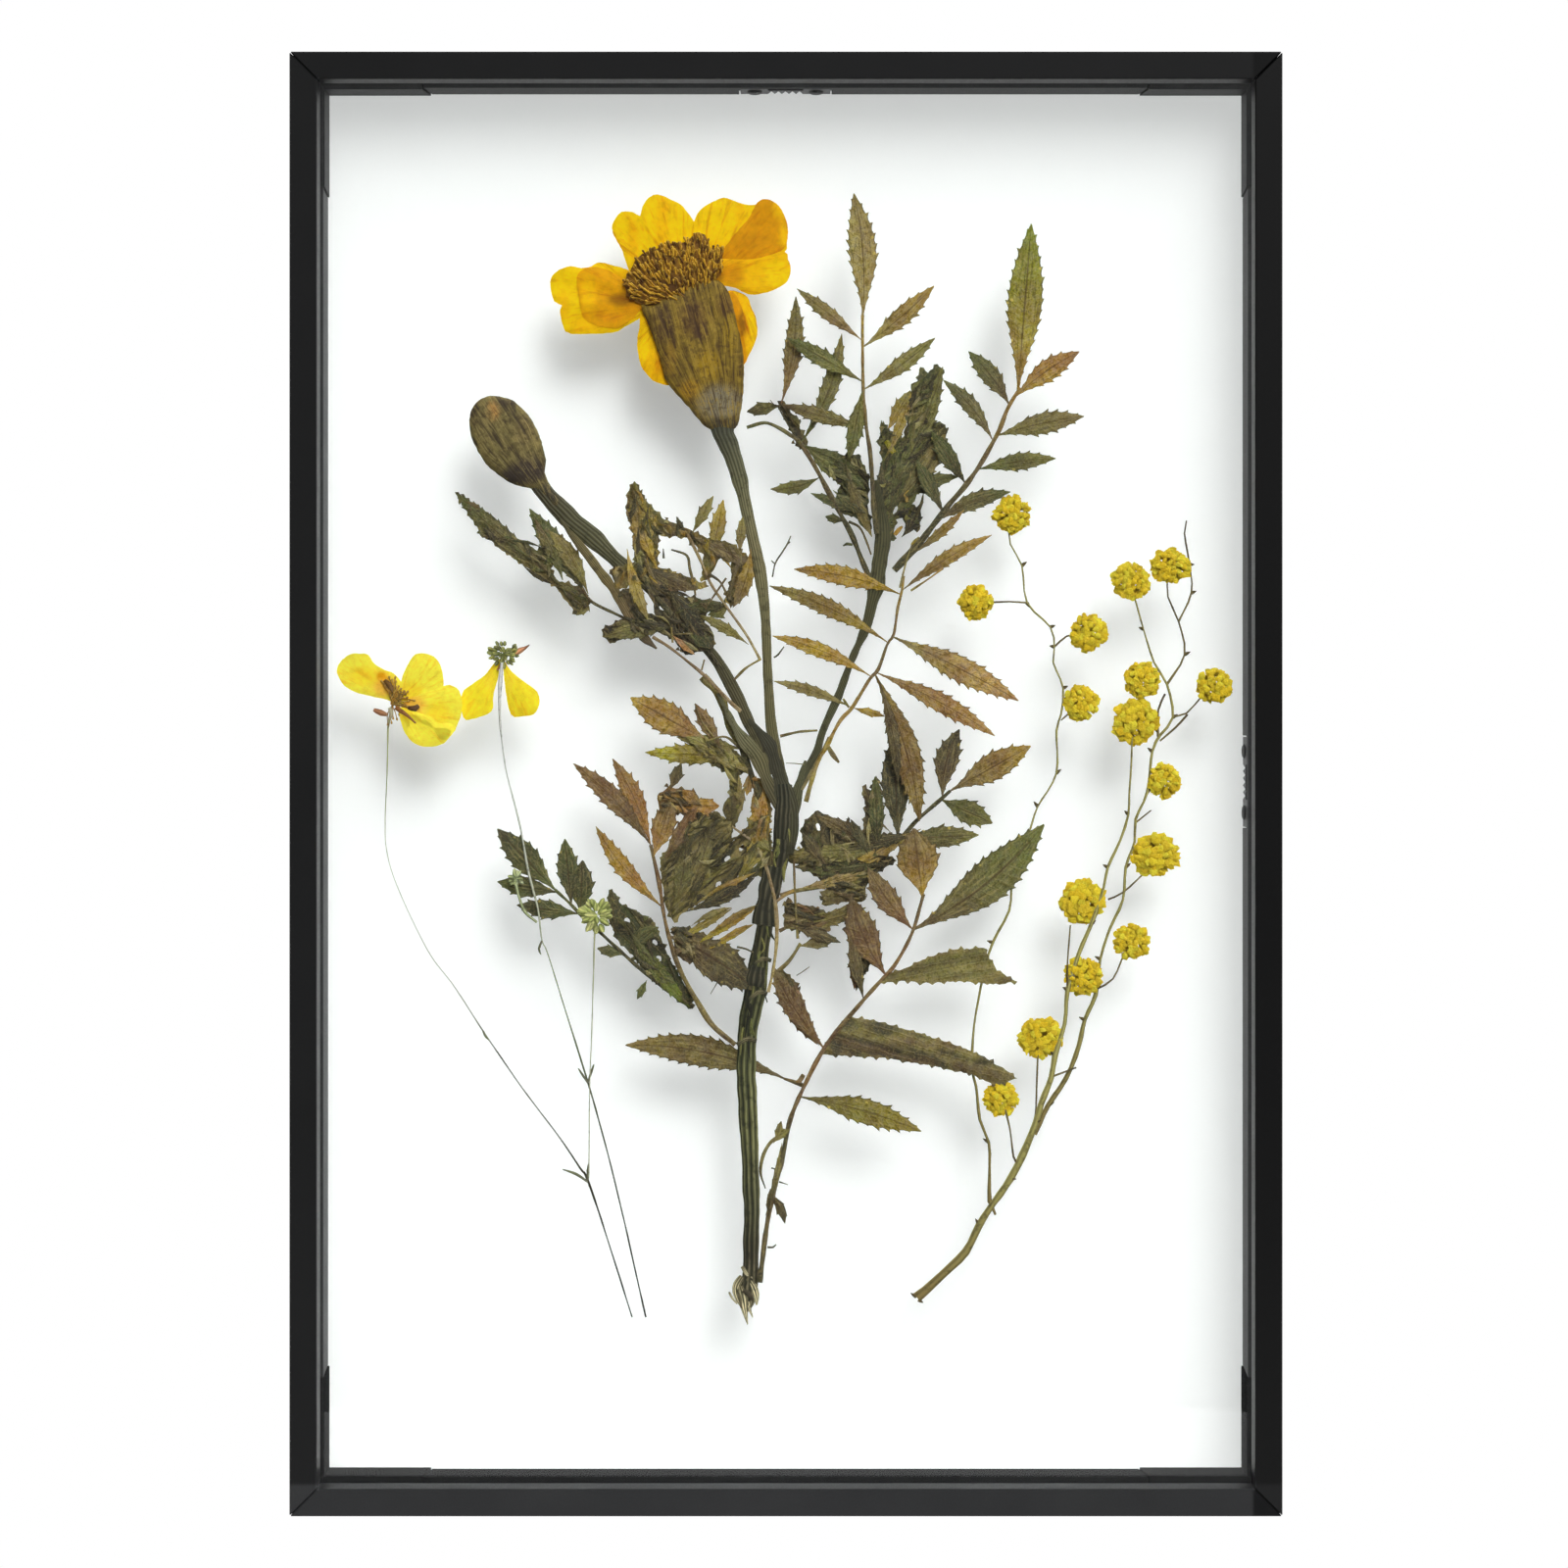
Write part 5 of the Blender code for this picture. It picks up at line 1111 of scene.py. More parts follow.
leaf("leaf_upper_left", 9.3, [(893, 600), (880, 572), (868, 543), (859, 527), (849, 508), (836, 484), (817, 452),
    (807, 444), (794, 436), (780, 431), (762, 436)], [((797, 412), (812, 302), 17, 5, rust, olive),
    ((820, 450), (859, 340), 16, 8, green, khaki), ((797, 413), (762, 420), 12, 0, olive, dark),
    ((820, 451), (885, 485), 15, 0, green, dark), ((836, 487), (786, 499), 12, -4, green, olive),
    ((884, 525), (827, 503), 10, 0, dark, green), ((870, 527), (842, 527), 8, 0, dark, green)],
    [([(793, 408), (800, 409), (825, 451), (816, 459)], [dark, brown, olive], (0.6, 1)), ([(846, 469), (862, 464),
    (876, 463), (883, 478), (887, 490), (886, 515), (890, 540), (882, 540), (872, 526), (857, 524), (852, 508),
    (858, 495), (848, 484)], [dark, green, green, soot], (1, 1))],
    [((822, 455), (868, 492), 14, 2, green, olive), ((838, 476), (884, 500), 12, -2, dark, green),
    ((850, 500), (884, 524), 11, 1, green, dark), ((862, 470), (890, 548), 12, 2, dark, khaki)],
    [([(794, 415, 1.6), (801, 428, 1.8), (809, 441, 2)], dark, dark), ([(866, 532, 3), (877, 538, 2), (884, 552, 2),
    (889, 566, 1.5)], dark, brown), ([(786, 408, 0.8), (790, 413, 1.6), (797, 414, 2)], brown, dark),
    ([(870, 556, 2.4), (864, 555, 3), (860, 557, 1)], green, dark)], [(883, 525), (889, 529), (848, 500), (858, 515)],
    width=5, tones=(dark, dark, brown, green), seed=2)
leaf("leaf_upper_right", 7.8, [(912, 582), (934, 559), (948, 541), (967, 517), (985, 496), (1003, 470), (1018, 442),
    (1028, 418), (1041, 396)], [((1039, 401), (1052, 229), 33, 0, gold, tone(140, 150, 52), 0.8),
    ((1036, 406), (1101, 359), 20, -3, gold, orange, 1.0), ((1030, 414), (988, 359), 18, 3, brown, green),
    ((1008, 448), (962, 388), 15, 5, brown, green, 0.5), ((1022, 448), (1106, 425), 20, -2, olive, khaki, 0.5),
    ((1000, 482), (1077, 468), 16, -2, green, olive), ((957, 534), (1031, 502), 16, -5, brown, green),
    ((982, 492), (950, 440), 16, 0, dark, green), ((961, 521), (935, 470), 14, 0, dark, green)],
    folds=[((930, 566), (984, 520), 9, 2, dark, gold)], width=6, tones=(dark, dark, brown, gold), seed=3)
leaf("leaf_upper_curled", 9.35, [(905, 560), (908, 520), (912, 480), (925, 455), (936, 420), (944, 392)],
    [((905, 440), (929, 398), 13, 0, gold, olive)], [([(899, 428), (906, 437), (914, 442), (921, 447), (927, 440),
    (925, 425), (930, 405), (930, 392), (937, 388), (939, 374), (947, 380), (957, 371), (964, 380), (955, 394),
    (949, 407), (946, 422), (942, 434), (952, 430), (965, 433), (964, 446), (972, 458), (979, 474), (980, 487),
    (969, 478), (958, 470), (946, 468), (942, 478), (948, 496), (955, 510), (942, 503), (934, 497), (930, 514),
    (938, 520), (939, 540), (926, 541), (921, 528), (914, 530), (912, 552), (899, 552), (896, 500), (900, 470),
    (898, 450)], [green, dark, green, olive, soot], (1, -1.2))],
    [((904, 500), (962, 374), 20, 6, green, olive), ((906, 520), (966, 440), 18, 5, dark, khaki),
    ((903, 530), (946, 436), 15, -4, green, dark), ((918, 512), (979, 486), 14, -6, dark, green),
    ((905, 545), (912, 440), 14, 3, dark, green), ((898, 560), (900, 470), 12, 0, soot, dark),
    ((926, 470), (968, 436), 16, 2, green, dark), ((920, 548), (938, 515), 13, 3, soot, soot),
    ((936, 466), (953, 508), 13, 2, green, dark), ((902, 470), (930, 400), 10, 2, khaki, gold)],
    [([(946, 498, 2.4), (955, 512, 2), (962, 522, 1.4)], dark, brown), ([(912, 462, 5), (906, 452, 6),
    (901, 444, 2)], yellow, tone(140, 140, 50)), ([(926, 512, 4), (924, 505, 5),
    (927, 500, 2)], tone(190, 160, 70), gold), ([(913, 546, 3), (917, 541, 4),
    (921, 537, 2)], tone(196, 150, 70), gold), ([(930, 556, 2), (934, 552, 4), (938, 548, 2)], yellow, khaki)],
    [(896, 488), (913, 520), (915, 550), (938, 546), (905, 500)], width=7, tones=(dark, soot, dark), seed=4)


# Leaves to the right of the main stem: a golden brown one high up, a crushed one in the middle and a large
# low one, with three narrow leaves that lie across the stem.
leaf("leaf_right_high", 7.7, [(822, 818), (835, 777), (843, 763), (857, 736), (868, 724), (875, 713), (888, 692),
    (896, 683), (905, 658), (912, 647), (916, 620), (920, 603), (922, 588)],
    [((920, 603), (1012, 546), 13, -4, brown, gold), ((916, 606), (810, 581), 18, 5, gold, gold),
    ((903, 654), (785, 598), 16, 6, gold, khaki), ((884, 686), (788, 649), 14, 5, gold, gold),
    ((866, 720), (789, 695), 10, 3, khaki, khaki), ((914, 652), (1039, 715), 24, -2, khaki, tone(196, 152, 92)),
    ((892, 685), (1015, 751), 18, -4, tone(134, 106, 64), tone(176, 134, 76)),
    ((869, 722), (903, 731), 7, 0, gold, gold),
    ((893, 688), (938, 838), 26, -8, tone(142, 118, 62), tone(126, 100, 60))],
    folds=[((897, 695), (916, 800), 12, -4, brown, dark)], threads=[([(796, 751, 3), (815, 747, 2.6),
    (834, 745.5, 2.4)], brown, olive), ([(802, 778.6, 1), (812, 779, 1.2),
    (821, 780, 1)], tone(150, 146, 130), olive), ([(860, 713, 2), (866, 722, 2.4)], khaki, khaki), ([(845, 762, 4),
    (850, 770, 5), (856, 778, 2)], khaki, brown), ([(788, 589, 1.8), (791, 575, 1.8), (798, 564, 1.6),
    (803, 556, 1.6), (807, 547, 1.2)], dark, dark), ([(791, 576, 1.2), (787, 572, 1.0)], dark, dark),
    ([(803, 556, 1.2), (806, 553, 1.8)], dark, dark), ([(789.6, 671, 1.6), (794, 668, 1.8),
    (800, 660, 1.4)], dark, dark), ([(929, 603, 2.4), (950, 589, 2), (962, 580, 3)], khaki, gold), ([(918, 600, 2),
    (924, 575, 1.6), (930, 556, 1.2)], khaki, khaki)], width=4, tones=(khaki, gold, brown, gold), seed=5)
leaf("leaf_right_middle", 9.3, [(800, 875), (840, 872), (880, 875), (913, 861), (935, 838), (960, 816), (970, 807)],
    [((970, 807), (1052, 761), 26, 0, brown, gold), ((962, 818), (1013, 840), 22, 0, green, olive, 0.8),
    ((960, 812), (979, 744), 22, -5, brown, dark), ((919, 858), (999, 852), 20, 0, dark, olive, 0.6),
    ((917, 858), (912, 750), 27, 0, dark, dark)], [([(802, 869), (842, 862), (878, 860), (884, 868), (866, 884),
    (832, 885), (806, 881)], [dark, khaki, olive], (1, 0)), ([(808, 884), (826, 880), (850, 882), (880, 878),
    (905, 872), (915, 878), (895, 892), (884, 905), (864, 914), (846, 910), (836, 897), (826, 890)], [soot, dark,
    brown, green], (1, -0.3)), ([(819, 870), (818, 845), (824, 835), (835, 827), (848, 837), (856, 847), (861, 845),
    (866, 833), (872, 852), (880, 862), (881, 845), (883, 822), (880, 802), (890, 807), (894, 791), (900, 806),
    (899, 830), (897, 853), (911, 849), (912, 866), (894, 878), (872, 882), (856, 888), (838, 892),
    (826, 884)], [soot, dark, brown, green], (0.4, 1))], [((900, 876), (832, 832), 16, 4, dark, brown),
    ((896, 872), (893, 792), 15, 0, dark, green), ((905, 868), (808, 872), 13, 2, green, khaki),
    ((902, 880), (822, 888), 13, -3, dark, green), ((940, 846), (862, 894), 15, 3, khaki, gold),
    ((938, 850), (868, 866), 12, 0, dark, dark), ((886, 872), (868, 836), 10, 0, dark, dark),
    ((844, 884), (818, 850), 12, 0, brown, dark), ((797, 874), (884, 871), 12, 2, khaki, olive)],
    [([(810, 877, 3), (811, 908, 2.4), (813, 947, 2.6), (814, 958, 3)], brown, khaki), ([(866, 846, 1.6),
    (858, 838, 2), (850, 842, 1.6)], dark, brown)], [(817, 843), (835, 844), (884, 865), (908, 861), (822, 862),
    (872, 872)], tones=(khaki, brown, dark, dark), seed=6)
leaf("leaf_right_low", 7.75, [(775, 1308), (779, 1280), (783, 1245), (793, 1201), (800, 1173), (808, 1138),
    (827, 1094), (849, 1058), (878, 1024), (900, 999), (913, 984), (931, 950), (942, 912)],
    [((942, 915), (932, 845), 40, 0, gold, brown), ((937, 950), (1065, 841), 40, 10, brown, tone(112, 120, 58), 0.5),
    ((930, 948), (885, 885), 22, -3, rust, brown), ((902, 993), (868, 915), 30, -5, rust, brown),
    ((875, 1015), (867, 955), 12, 0, dark, brown), ((838, 1068), (788, 985), 20, -4, rust, brown),
    ((819, 1120), (940, 1154), 24, -4, olive, tone(150, 132, 52), 0.9)],
    [([(902, 994), (925, 987), (944, 978), (972, 969), (1004, 967), (1010, 978), (1017, 990), (1038, 1002),
    (1016, 1004), (972, 1001), (948, 1003), (920, 1001), (899, 1003)], [brown, olive, khaki, brown], (1, -0.2)),
    ([(866, 1036), (873, 1038), (900, 1043), (960, 1061), (985, 1070), (1004, 1078), (1038, 1100), (1016, 1108),
    (992, 1096), (948, 1087), (900, 1079), (844, 1076), (838, 1072)], [brown, dark, khaki, brown], (1, 0.3))],
    [((781, 1240), (798, 1165), 6, 2, dark, khaki), ((785, 1216), (801, 1248), 9, -3, brown, dark),
    ((789, 1166), (806, 1152), 8, -2, khaki, olive), ((790, 1164), (797, 1143), 7, 1, khaki, olive),
    ((784, 1244), (786, 1212), 6, 0, dark, brown)], [([(800, 1158, 3), (788, 1163, 4), (779, 1177, 4), (776, 1195, 3),
    (781, 1212, 1.4)], khaki, dark), ([(787, 1191, 1.6), (791, 1192, 1)], dark, dark), ([(795, 1205, 2),
    (804, 1208, 1)], dark, dark), ([(783, 1272, 2), (789, 1272, 2), (792, 1269, 1)], dark, dark), ([(812.5, 995, 1),
    (819, 991, 1.2), (826, 986, 0.8)], dark, brown), ([(820, 1096, 4), (816, 1102, 5), (812, 1104, 2)], brown, rust)],
    width=5, tones=(dark, brown, dark, rust, brown, rust, brown), seed=7, tangled=False)
leaf("stem_leaf_upper", 9.3, [(796, 914), (812, 909), (842, 905)], [((838, 906), (896, 891), 10, 0, khaki, olive)],
    [([(836, 910), (870, 900), (884, 908), (882, 920), (858, 921), (842, 925)], [dark, khaki, brown], (1, 0))],
    [((808, 909), (894, 886), 11, 2, tone(168, 144, 92), khaki)], width=4, seed=8)
leaf("stem_leaf_middle", 9.3, [(795, 950), (812, 942), (841, 932)], [((839, 932), (887, 933), 14, 0, khaki, olive)],
    [([(800, 920), (832, 926), (845, 933), (848, 950), (825, 952), (800, 946)], [rust, dark, brown], (1, 0.2)),
    ([(862, 930), (884, 938), (893, 975), (874, 1012), (868, 970)], [dark, brown, dark], (0.2, 1))],
    [((800, 948), (884, 926), 13, 3, khaki, olive), ((806, 944), (858, 962), 11, 0, brown, dark),
    ((884, 936), (872, 1010), 15, 3, brown, rust)], width=4, seed=9)
leaf("stem_leaf_lower", 9.3, [(794, 992), (806, 980), (817, 963)], [((815, 966), (853, 958), 12, 0, khaki, dark)],
    [([(796, 988), (812, 1002), (836, 1068), (812, 1040), (793, 1010)], [rust, brown, dark], (0.5, 1))],
    [((790, 990), (834, 1066), 15, 4, rust, rust)], width=4, seed=10)


# Leaves to the left of the main stem and on the bud's stalk, most of them folded over and crushed,
# with rust and gold where they lie open and nearly black where they overlap, partly their own tone and partly painted
# shade.
leaf("leaf_left_low", 7.8, [(750, 1066), (725, 1043), (707, 1014), (690, 980), (680, 945), (674, 910), (670, 889),
    (664, 862)], [((664, 862), (585, 779), 19, 5, brown, rust), ((665, 862), (625, 774), 18, 4, orange, rust),
    ((672, 927), (608, 843), 16, -5, orange, gold, 0.2), ((672, 873), (686, 815), 22, 0, orange, brown),
    ((683, 955), (770, 1010), 38, -5, brown, dark), ((700, 958), (747, 927), 7, 0, yellow, khaki),
    ((706, 966), (775, 923), 8, 0, yellow, gold), ((710, 974), (769, 943), 6, 0, gold, yellow),
    ((684, 806), (695, 779), 11, 0, brown, dark), ((699, 824), (734, 822), 16, 0, orange, orange)],
    [([(679, 925), (677, 905), (673, 875), (681, 868), (687, 858), (698, 850), (705, 832), (720, 828), (734, 830),
    (748, 842), (746, 860), (757, 852), (770, 838), (785, 830), (787, 880), (780, 893), (762, 896), (752, 907),
    (738, 905), (722, 915), (708, 924), (696, 932), (688, 942)], [soot, dark, olive, khaki, dark], (1, -1.1)),
    ([(672, 825), (671, 812), (681, 803), (698, 805), (712, 822), (708, 840), (694, 829), (680, 832),
    (674, 848)], [brown, orange, brown], (1, 0.5)), ([(744, 850), (740, 830), (742, 814), (752, 812),
    (753, 838)], [khaki, brown, olive], (0, 1)), ([(686, 945), (700, 946), (712, 950), (728, 956), (716, 975),
    (704, 984), (690, 975)], [brown, dark, brown], (1, 1))], [((705, 945), (747, 926), 6, -3, olive, khaki),
    ((723, 954), (773, 923), 6, -2, gold, khaki), ((703, 927), (771, 890), 7, -2, khaki, gold),
    ((732, 963), (768, 943), 5, -2, gold, gold), ((762, 834), (786, 868), 20, 0, tone(128, 118, 56), olive),
    ((686, 932), (700, 848), 18, 4, olive, dark), ((700, 930), (770, 895), 14, 3, dark, soot),
    ((750, 900), (784, 832), 18, 5, olive, gold), ((702, 918), (730, 836), 15, 0, khaki, dark),
    ((676, 880), (712, 822), 14, 0, brown, rust), ((716, 822), (696, 806), 13, 0, brown, orange)],
    [([(747, 843, 2.4), (758.4, 851.5, 3), (771, 862, 3.2), (781, 882, 3.6), (786, 899, 3.6), (791, 921, 4),
    (793, 943, 4), (792, 966, 4), (788, 994, 3.6), (784, 1012, 3)], tone(158, 140, 104), tone(176, 152, 104)),
    ([(771, 862, 3), (773, 849, 3), (777, 836, 4)], khaki, tone(176, 140, 84)), ([(793, 919, 2.6), (801, 913, 3.4),
    (810, 908, 4)], tone(172, 148, 104), gold), ([(752, 966, 2), (761, 968, 1.6), (769, 972, 1.6)], dark, dark),
    ([(734, 995, 1), (732, 1002, 1.2), (725, 1014, 0.8)], dark, dark)],
    [(690, 863), (724, 867), (694, 903), (733, 902), (756, 894), (757, 865), (770, 882), (700, 890), (742, 876)],
    width=5, tones=(brown, khaki, brown, rust, brown), seed=11)
leaf("leaf_left_far", 9.3, [(708, 1028), (680, 1010), (655, 990), (632, 970), (608, 948), (596, 938), (581, 922),
    (566, 908)], [((567, 909), (507, 846), 26, 0, green, dark), ((569, 911), (507, 900), 19, 0, dark, green),
    ((590, 934), (527, 924), 17, 0, green, dark), ((583, 924), (576, 856), 20, 0, dark, green),
    ((594, 932), (594, 878), 22, 0, green, dark), ((636, 976), (609, 968), 10, 0, green, dark)],
    [([(619, 928), (621, 908), (628, 912), (632, 922), (652, 932), (668, 942), (675, 960), (686, 985), (696, 1001),
    (706, 1018), (706, 1030), (694, 1024), (668, 1000), (645, 975), (628, 958)], [soot, dark, green, dark], (1, 1))],
    [((628, 956), (624, 908), 14, 0, dark, dark), ((640, 970), (672, 946), 15, -3, dark, green),
    ((640, 946), (704, 1028), 15, 3, dark, tone(110, 124, 44)), ((660, 992), (690, 1004), 11, 0, dark, green),
    ((660, 1000), (650, 1020), 7, 0, green, green)], gaps=[(672, 978), (682, 1000), (654, 958), (668, 962),
    (640, 940)], width=4, tones=(dark, dark, green), seed=12)
leaf("leaf_below_bud", 9.3, [(654, 645), (637, 631), (604, 614), (594, 600)],
    [((596, 606), (540, 519), 22, 0, dark, green, 0.2), ((600, 608), (588, 628), 14, 0, brown, olive)],
    [([(571, 566), (562, 580), (568, 592), (596, 600), (603, 616), (588, 627), (566, 598), (545, 584), (512, 562),
    (488, 540), (464, 502), (490, 518), (520, 545), (548, 562), (560, 556)], [dark, brown, olive, green], (1, 0.8))],
    [((566, 590), (464, 502), 19, -3, brown, green), ((574, 592), (546, 530), 16, 3, green, brown),
    ((600, 606), (560, 540), 17, 4, olive, khaki)], width=3.5, tones=(soot, dark, brown), seed=13)
leaf("leaf_bud_stalk", 7.75, [(650, 575), (668, 606), (690, 632), (712, 650), (733, 680)],
    [((706, 545), (728, 506), 10, 0, olive, khaki), ((726, 572), (738, 510), 14, 0, olive, gold),
    ((754, 566), (758, 527), 9, 0, brown, khaki), ((700, 548), (690, 527), 5, 0, dark, dark),
    ((722, 628), (742, 620), 14, 0, green, olive)], [([(640, 503), (647, 491), (652, 499), (662, 514), (678, 530),
    (706, 542), (722, 549), (748, 555), (767, 572), (768, 590), (757, 601), (746, 621), (741, 610), (746, 592),
    (746, 574), (735, 566), (724, 590), (715, 594), (718, 566), (701, 549), (672, 546), (671, 578), (700, 588),
    (724, 598), (712, 602), (680, 600), (652, 592), (630, 603), (622, 582), (648, 574), (646, 545),
    (640, 520)], [gold, brown, olive, gold, dark], (0.3, 1)), ([(652, 582), (672, 590), (690, 608), (714, 611),
    (727, 620), (712, 634), (727, 648), (731, 657), (718, 664), (700, 668), (686, 652), (668, 644), (664, 646),
    (656, 650), (635, 652), (622, 657), (614, 643), (634, 632), (650, 634), (640, 615), (630, 604), (642, 600),
    (655, 625), (668, 628), (666, 610)], [soot, dark, brown, soot], (1, 1))],
    [((670, 580), (648, 492), 22, -4, gold, olive), ((656, 576), (712, 602), 15, 3, soot, brown),
    ((676, 596), (726, 660), 17, -3, dark, soot), ((690, 626), (742, 618), 13, -3, green, dark),
    ((690, 640), (616, 650), 17, 3, dark, olive), ((700, 640), (728, 662), 15, 0, green, soot),
    ((706, 548), (766, 578), 15, -2, brown, brown), ((766, 560), (748, 620), 15, -4, gold, brown),
    ((640, 560), (662, 634), 12, 3, gold, khaki), ((700, 604), (662, 588), 12, 0, rust, brown),
    ((764, 658), (714, 628), 10, 2, khaki, olive), ((686, 648), (709, 668), 7, 0, tone(198, 152, 108), orange)],
    [([(701, 545, 3), (714, 570, 3), (726, 597, 3), (739, 616, 3), (756, 640, 2.6), (765, 654, 3),
    (776, 674, 3)], tone(140, 118, 84), tone(182, 160, 118)), ([(724, 586, 3), (735, 594, 2.4),
    (742, 608, 2)], dark, brown), ([(749, 694, 3), (761, 682, 3), (776, 673, 2.6)], brown, khaki), ([(692, 528, 1),
    (691.5, 536, 2.4), (692, 546, 3)], dark, dark), ([(685, 561, 2), (701, 567, 3), (704, 580, 2.4), (708, 597, 2.4),
    (710, 608, 2)], dark, brown), ([(677, 560, 1), (677.5, 570, 3)], dark, dark), ([(685, 640, 2),
    (686.5, 656, 2)], khaki, khaki), ([(666, 650, 3), (685, 662, 3), (715, 686, 3), (737, 708, 3.4), (748, 719, 4),
    (756, 726, 4)], tone(140, 116, 84), tone(168, 146, 108)), ([(719, 673, 2), (716, 684, 2)], khaki, khaki),
    ([(757, 560, 3), (750, 585, 4), (742, 610, 3), (734, 622, 2)], brown, dark), ([(741, 590, 2), (730, 606, 2),
    (722, 618, 1.6)], brown, brown)], [(664, 562), (706, 600), (686, 585), (716, 573), (650, 607), (676, 620),
    (700, 645)], width=6, tones=(dark, dark, soot), seed=14)
leaf("leaf_fork_left", 9.3, [(717, 690), (734, 710), (746, 744), (756, 760), (768, 793), (776, 815), (773, 832)],
    [((722, 756), (643, 712), 30, 0, rust, gold, 0.4), ((745, 778), (658, 768), 18, 0, olive, yellow, 0.4),
    ((743, 770), (690, 752), 14, 0, olive, olive), ((736, 764), (709, 718), 14, 0, brown, rust),
    ((756, 790), (762, 812), 8, 0, brown, gold)], [([(716, 752), (732, 760), (752, 766), (764, 786), (754, 792),
    (753, 830), (748, 846), (744, 830), (745, 790), (722, 778)], [khaki, olive, dark, khaki], (0.6, 1)), ([(768, 793),
    (783, 796), (787, 832), (777, 880), (760, 868), (756, 850), (772, 836)], [orange, khaki, gold], (0, 1))],
    [((764, 790), (700, 752), 20, 4, khaki, olive), ((762, 800), (748, 842), 11, 2, khaki, brown),
    ((780, 800), (762, 868), 18, -4, orange, gold)], [([(722, 756, 2), (740, 752, 2.4), (756, 764, 3)], khaki, dark),
    ([(709, 718, 2), (716, 736, 2), (728, 752, 2)], brown, khaki), ([(765, 744, 5), (772, 752, 6),
    (779, 764, 4)], dark, tone(60, 54, 42))], [(783, 858), (776, 884)], width=8, tones=(khaki, olive, dark, dark),
    seed=15)
leaf("leaf_behind_stem", 9.4, [(822, 1109), (812, 1105), (800, 1101)],
    [((801, 1101), (638, 1067), 29, 10, tone(96, 84, 58), tone(134, 116, 62), 0.4)], tones=(brown, brown), seed=16)


# The two buttercups are thin as tissue: rounded pale yellow petals, stamens crushed to amber threads, and
# hair-thin pale stems. The right one has lost most petals and shows its green head of seeds.
thin_petal = petal_finish("thin yellow petal", tone(240, 180, 60), 12.0, 0.45)
lemon = tone(255, 240, 70)
warm = tone(255, 226, 52)
honey = tone(250, 196, 70)
petal("buttercup_left", [[(344, 686), (347, 676), (357, 668), (367, 667), (376, 668), (383, 678), (396, 685),
    (402, 687), (412, 700), (412, 720), (395, 714), (368, 708), (352, 700)], [(408, 716), (410, 694), (416, 679),
    (424, 668), (434, 667), (443, 670), (450, 679), (453, 698), (448, 712), (429, 720)], [(410, 722), (429, 708),
    (445, 703), (459, 699), (469, 705), (472, 719), (469, 735), (459, 750), (430, 744)], [(408, 722), (425, 726),
    (462, 740), (459, 753), (450, 760), (437, 762), (424, 759), (414, 748), (409, 734)]], (406, 716), 7.75,
    [painted_by(lemon, [(392, 700, 16, 16, honey), (372, 690, 22, 14, warm), (390, 690, 8, 8, amber)]),
    painted_by(lemon, [(420, 706, 16, 16, warm)]), painted_by(lemon, [(420, 720, 22, 14, honey),
    (448, 728, 16, 18, warm)]), painted_by(lemon, [(415, 728, 12, 14, warm)])], ending="_petals", seed=15,
    material=thin_petal)
petal("buttercup_right", [[(471, 708), (483, 697), (494, 689), (509, 672), (508, 690), (503, 710), (501, 726),
    (481, 734), (472, 732)], [(513, 672), (519, 682), (530, 692), (548, 706), (550, 719), (544, 729), (532, 731),
    (521, 729), (515, 700)]], (511, 674), 9.35, [painted_by(tone(255, 232, 44), [(500, 695, 8, 14, warm)]),
    painted_by(tone(255, 232, 44), [(520, 695, 8, 16, warm)])], ending="_petals", seed=18, material=thin_petal)
thread_finish = stem_finish("pale thread", 3, 0.5, (1.3, 1.3, 1.2), tone(70, 62, 46))
stamens = Sprig()
for number in range(46):
    dice = random.Random(400 + number)
    turn = dice.uniform(-2.2, 1.9)
    reach = dice.uniform(6, 22)
    root = Vector((401 + dice.uniform(-2, 3), 716 + dice.uniform(-4, 3)))
    end = root + Vector((math.cos(turn), math.sin(turn))) * reach
    bend = (root + end) / 2 + Vector((dice.uniform(-3, 3), dice.uniform(-3, 3)))
    shade = dice.choice([tone(214, 160, 60), tone(184, 134, 48), tone(228, 190, 96), tone(150, 120, 60)])
    strand(stamens, [(*root, 1.1), (*bend, 1.0), (*end, 1.0), (*(end + (end - bend).normalized() * 2.2), 2.4),
                     (*(end + (end - bend).normalized() * 3.4), 0.8)],
           7.0 + dice.uniform(0.05, 0.3), 0.22, [shade, shade, tone(206, 164, 82)], sides=6, seed=number, spacing=3.0)
for line, shade in (([(393, 694, 4), (398, 699, 5), (401, 705, 3)], tone(130, 88, 30)),
                    ([(417, 722, 3), (424, 723, 6), (428, 720, 4)], tone(90, 52, 34)),
                    ([(404, 722, 4), (416, 730, 4), (425, 738, 2)], tone(176, 112, 60)),
                    ([(382, 724, 4), (390, 727, 5), (396, 729, 3)], tone(206, 140, 100)),
                    ([(398, 722, 4), (400, 728, 5), (398, 734, 3)], tone(226, 220, 186))):
    strand(stamens, line, 7.05, 0.3, [shade, between(shade, tone(230, 190, 140), 0.3)], sides=8, uneven=0.4,
           seed=line[0][0])
grow(stamens, "buttercup_stamens", thread_finish, [])


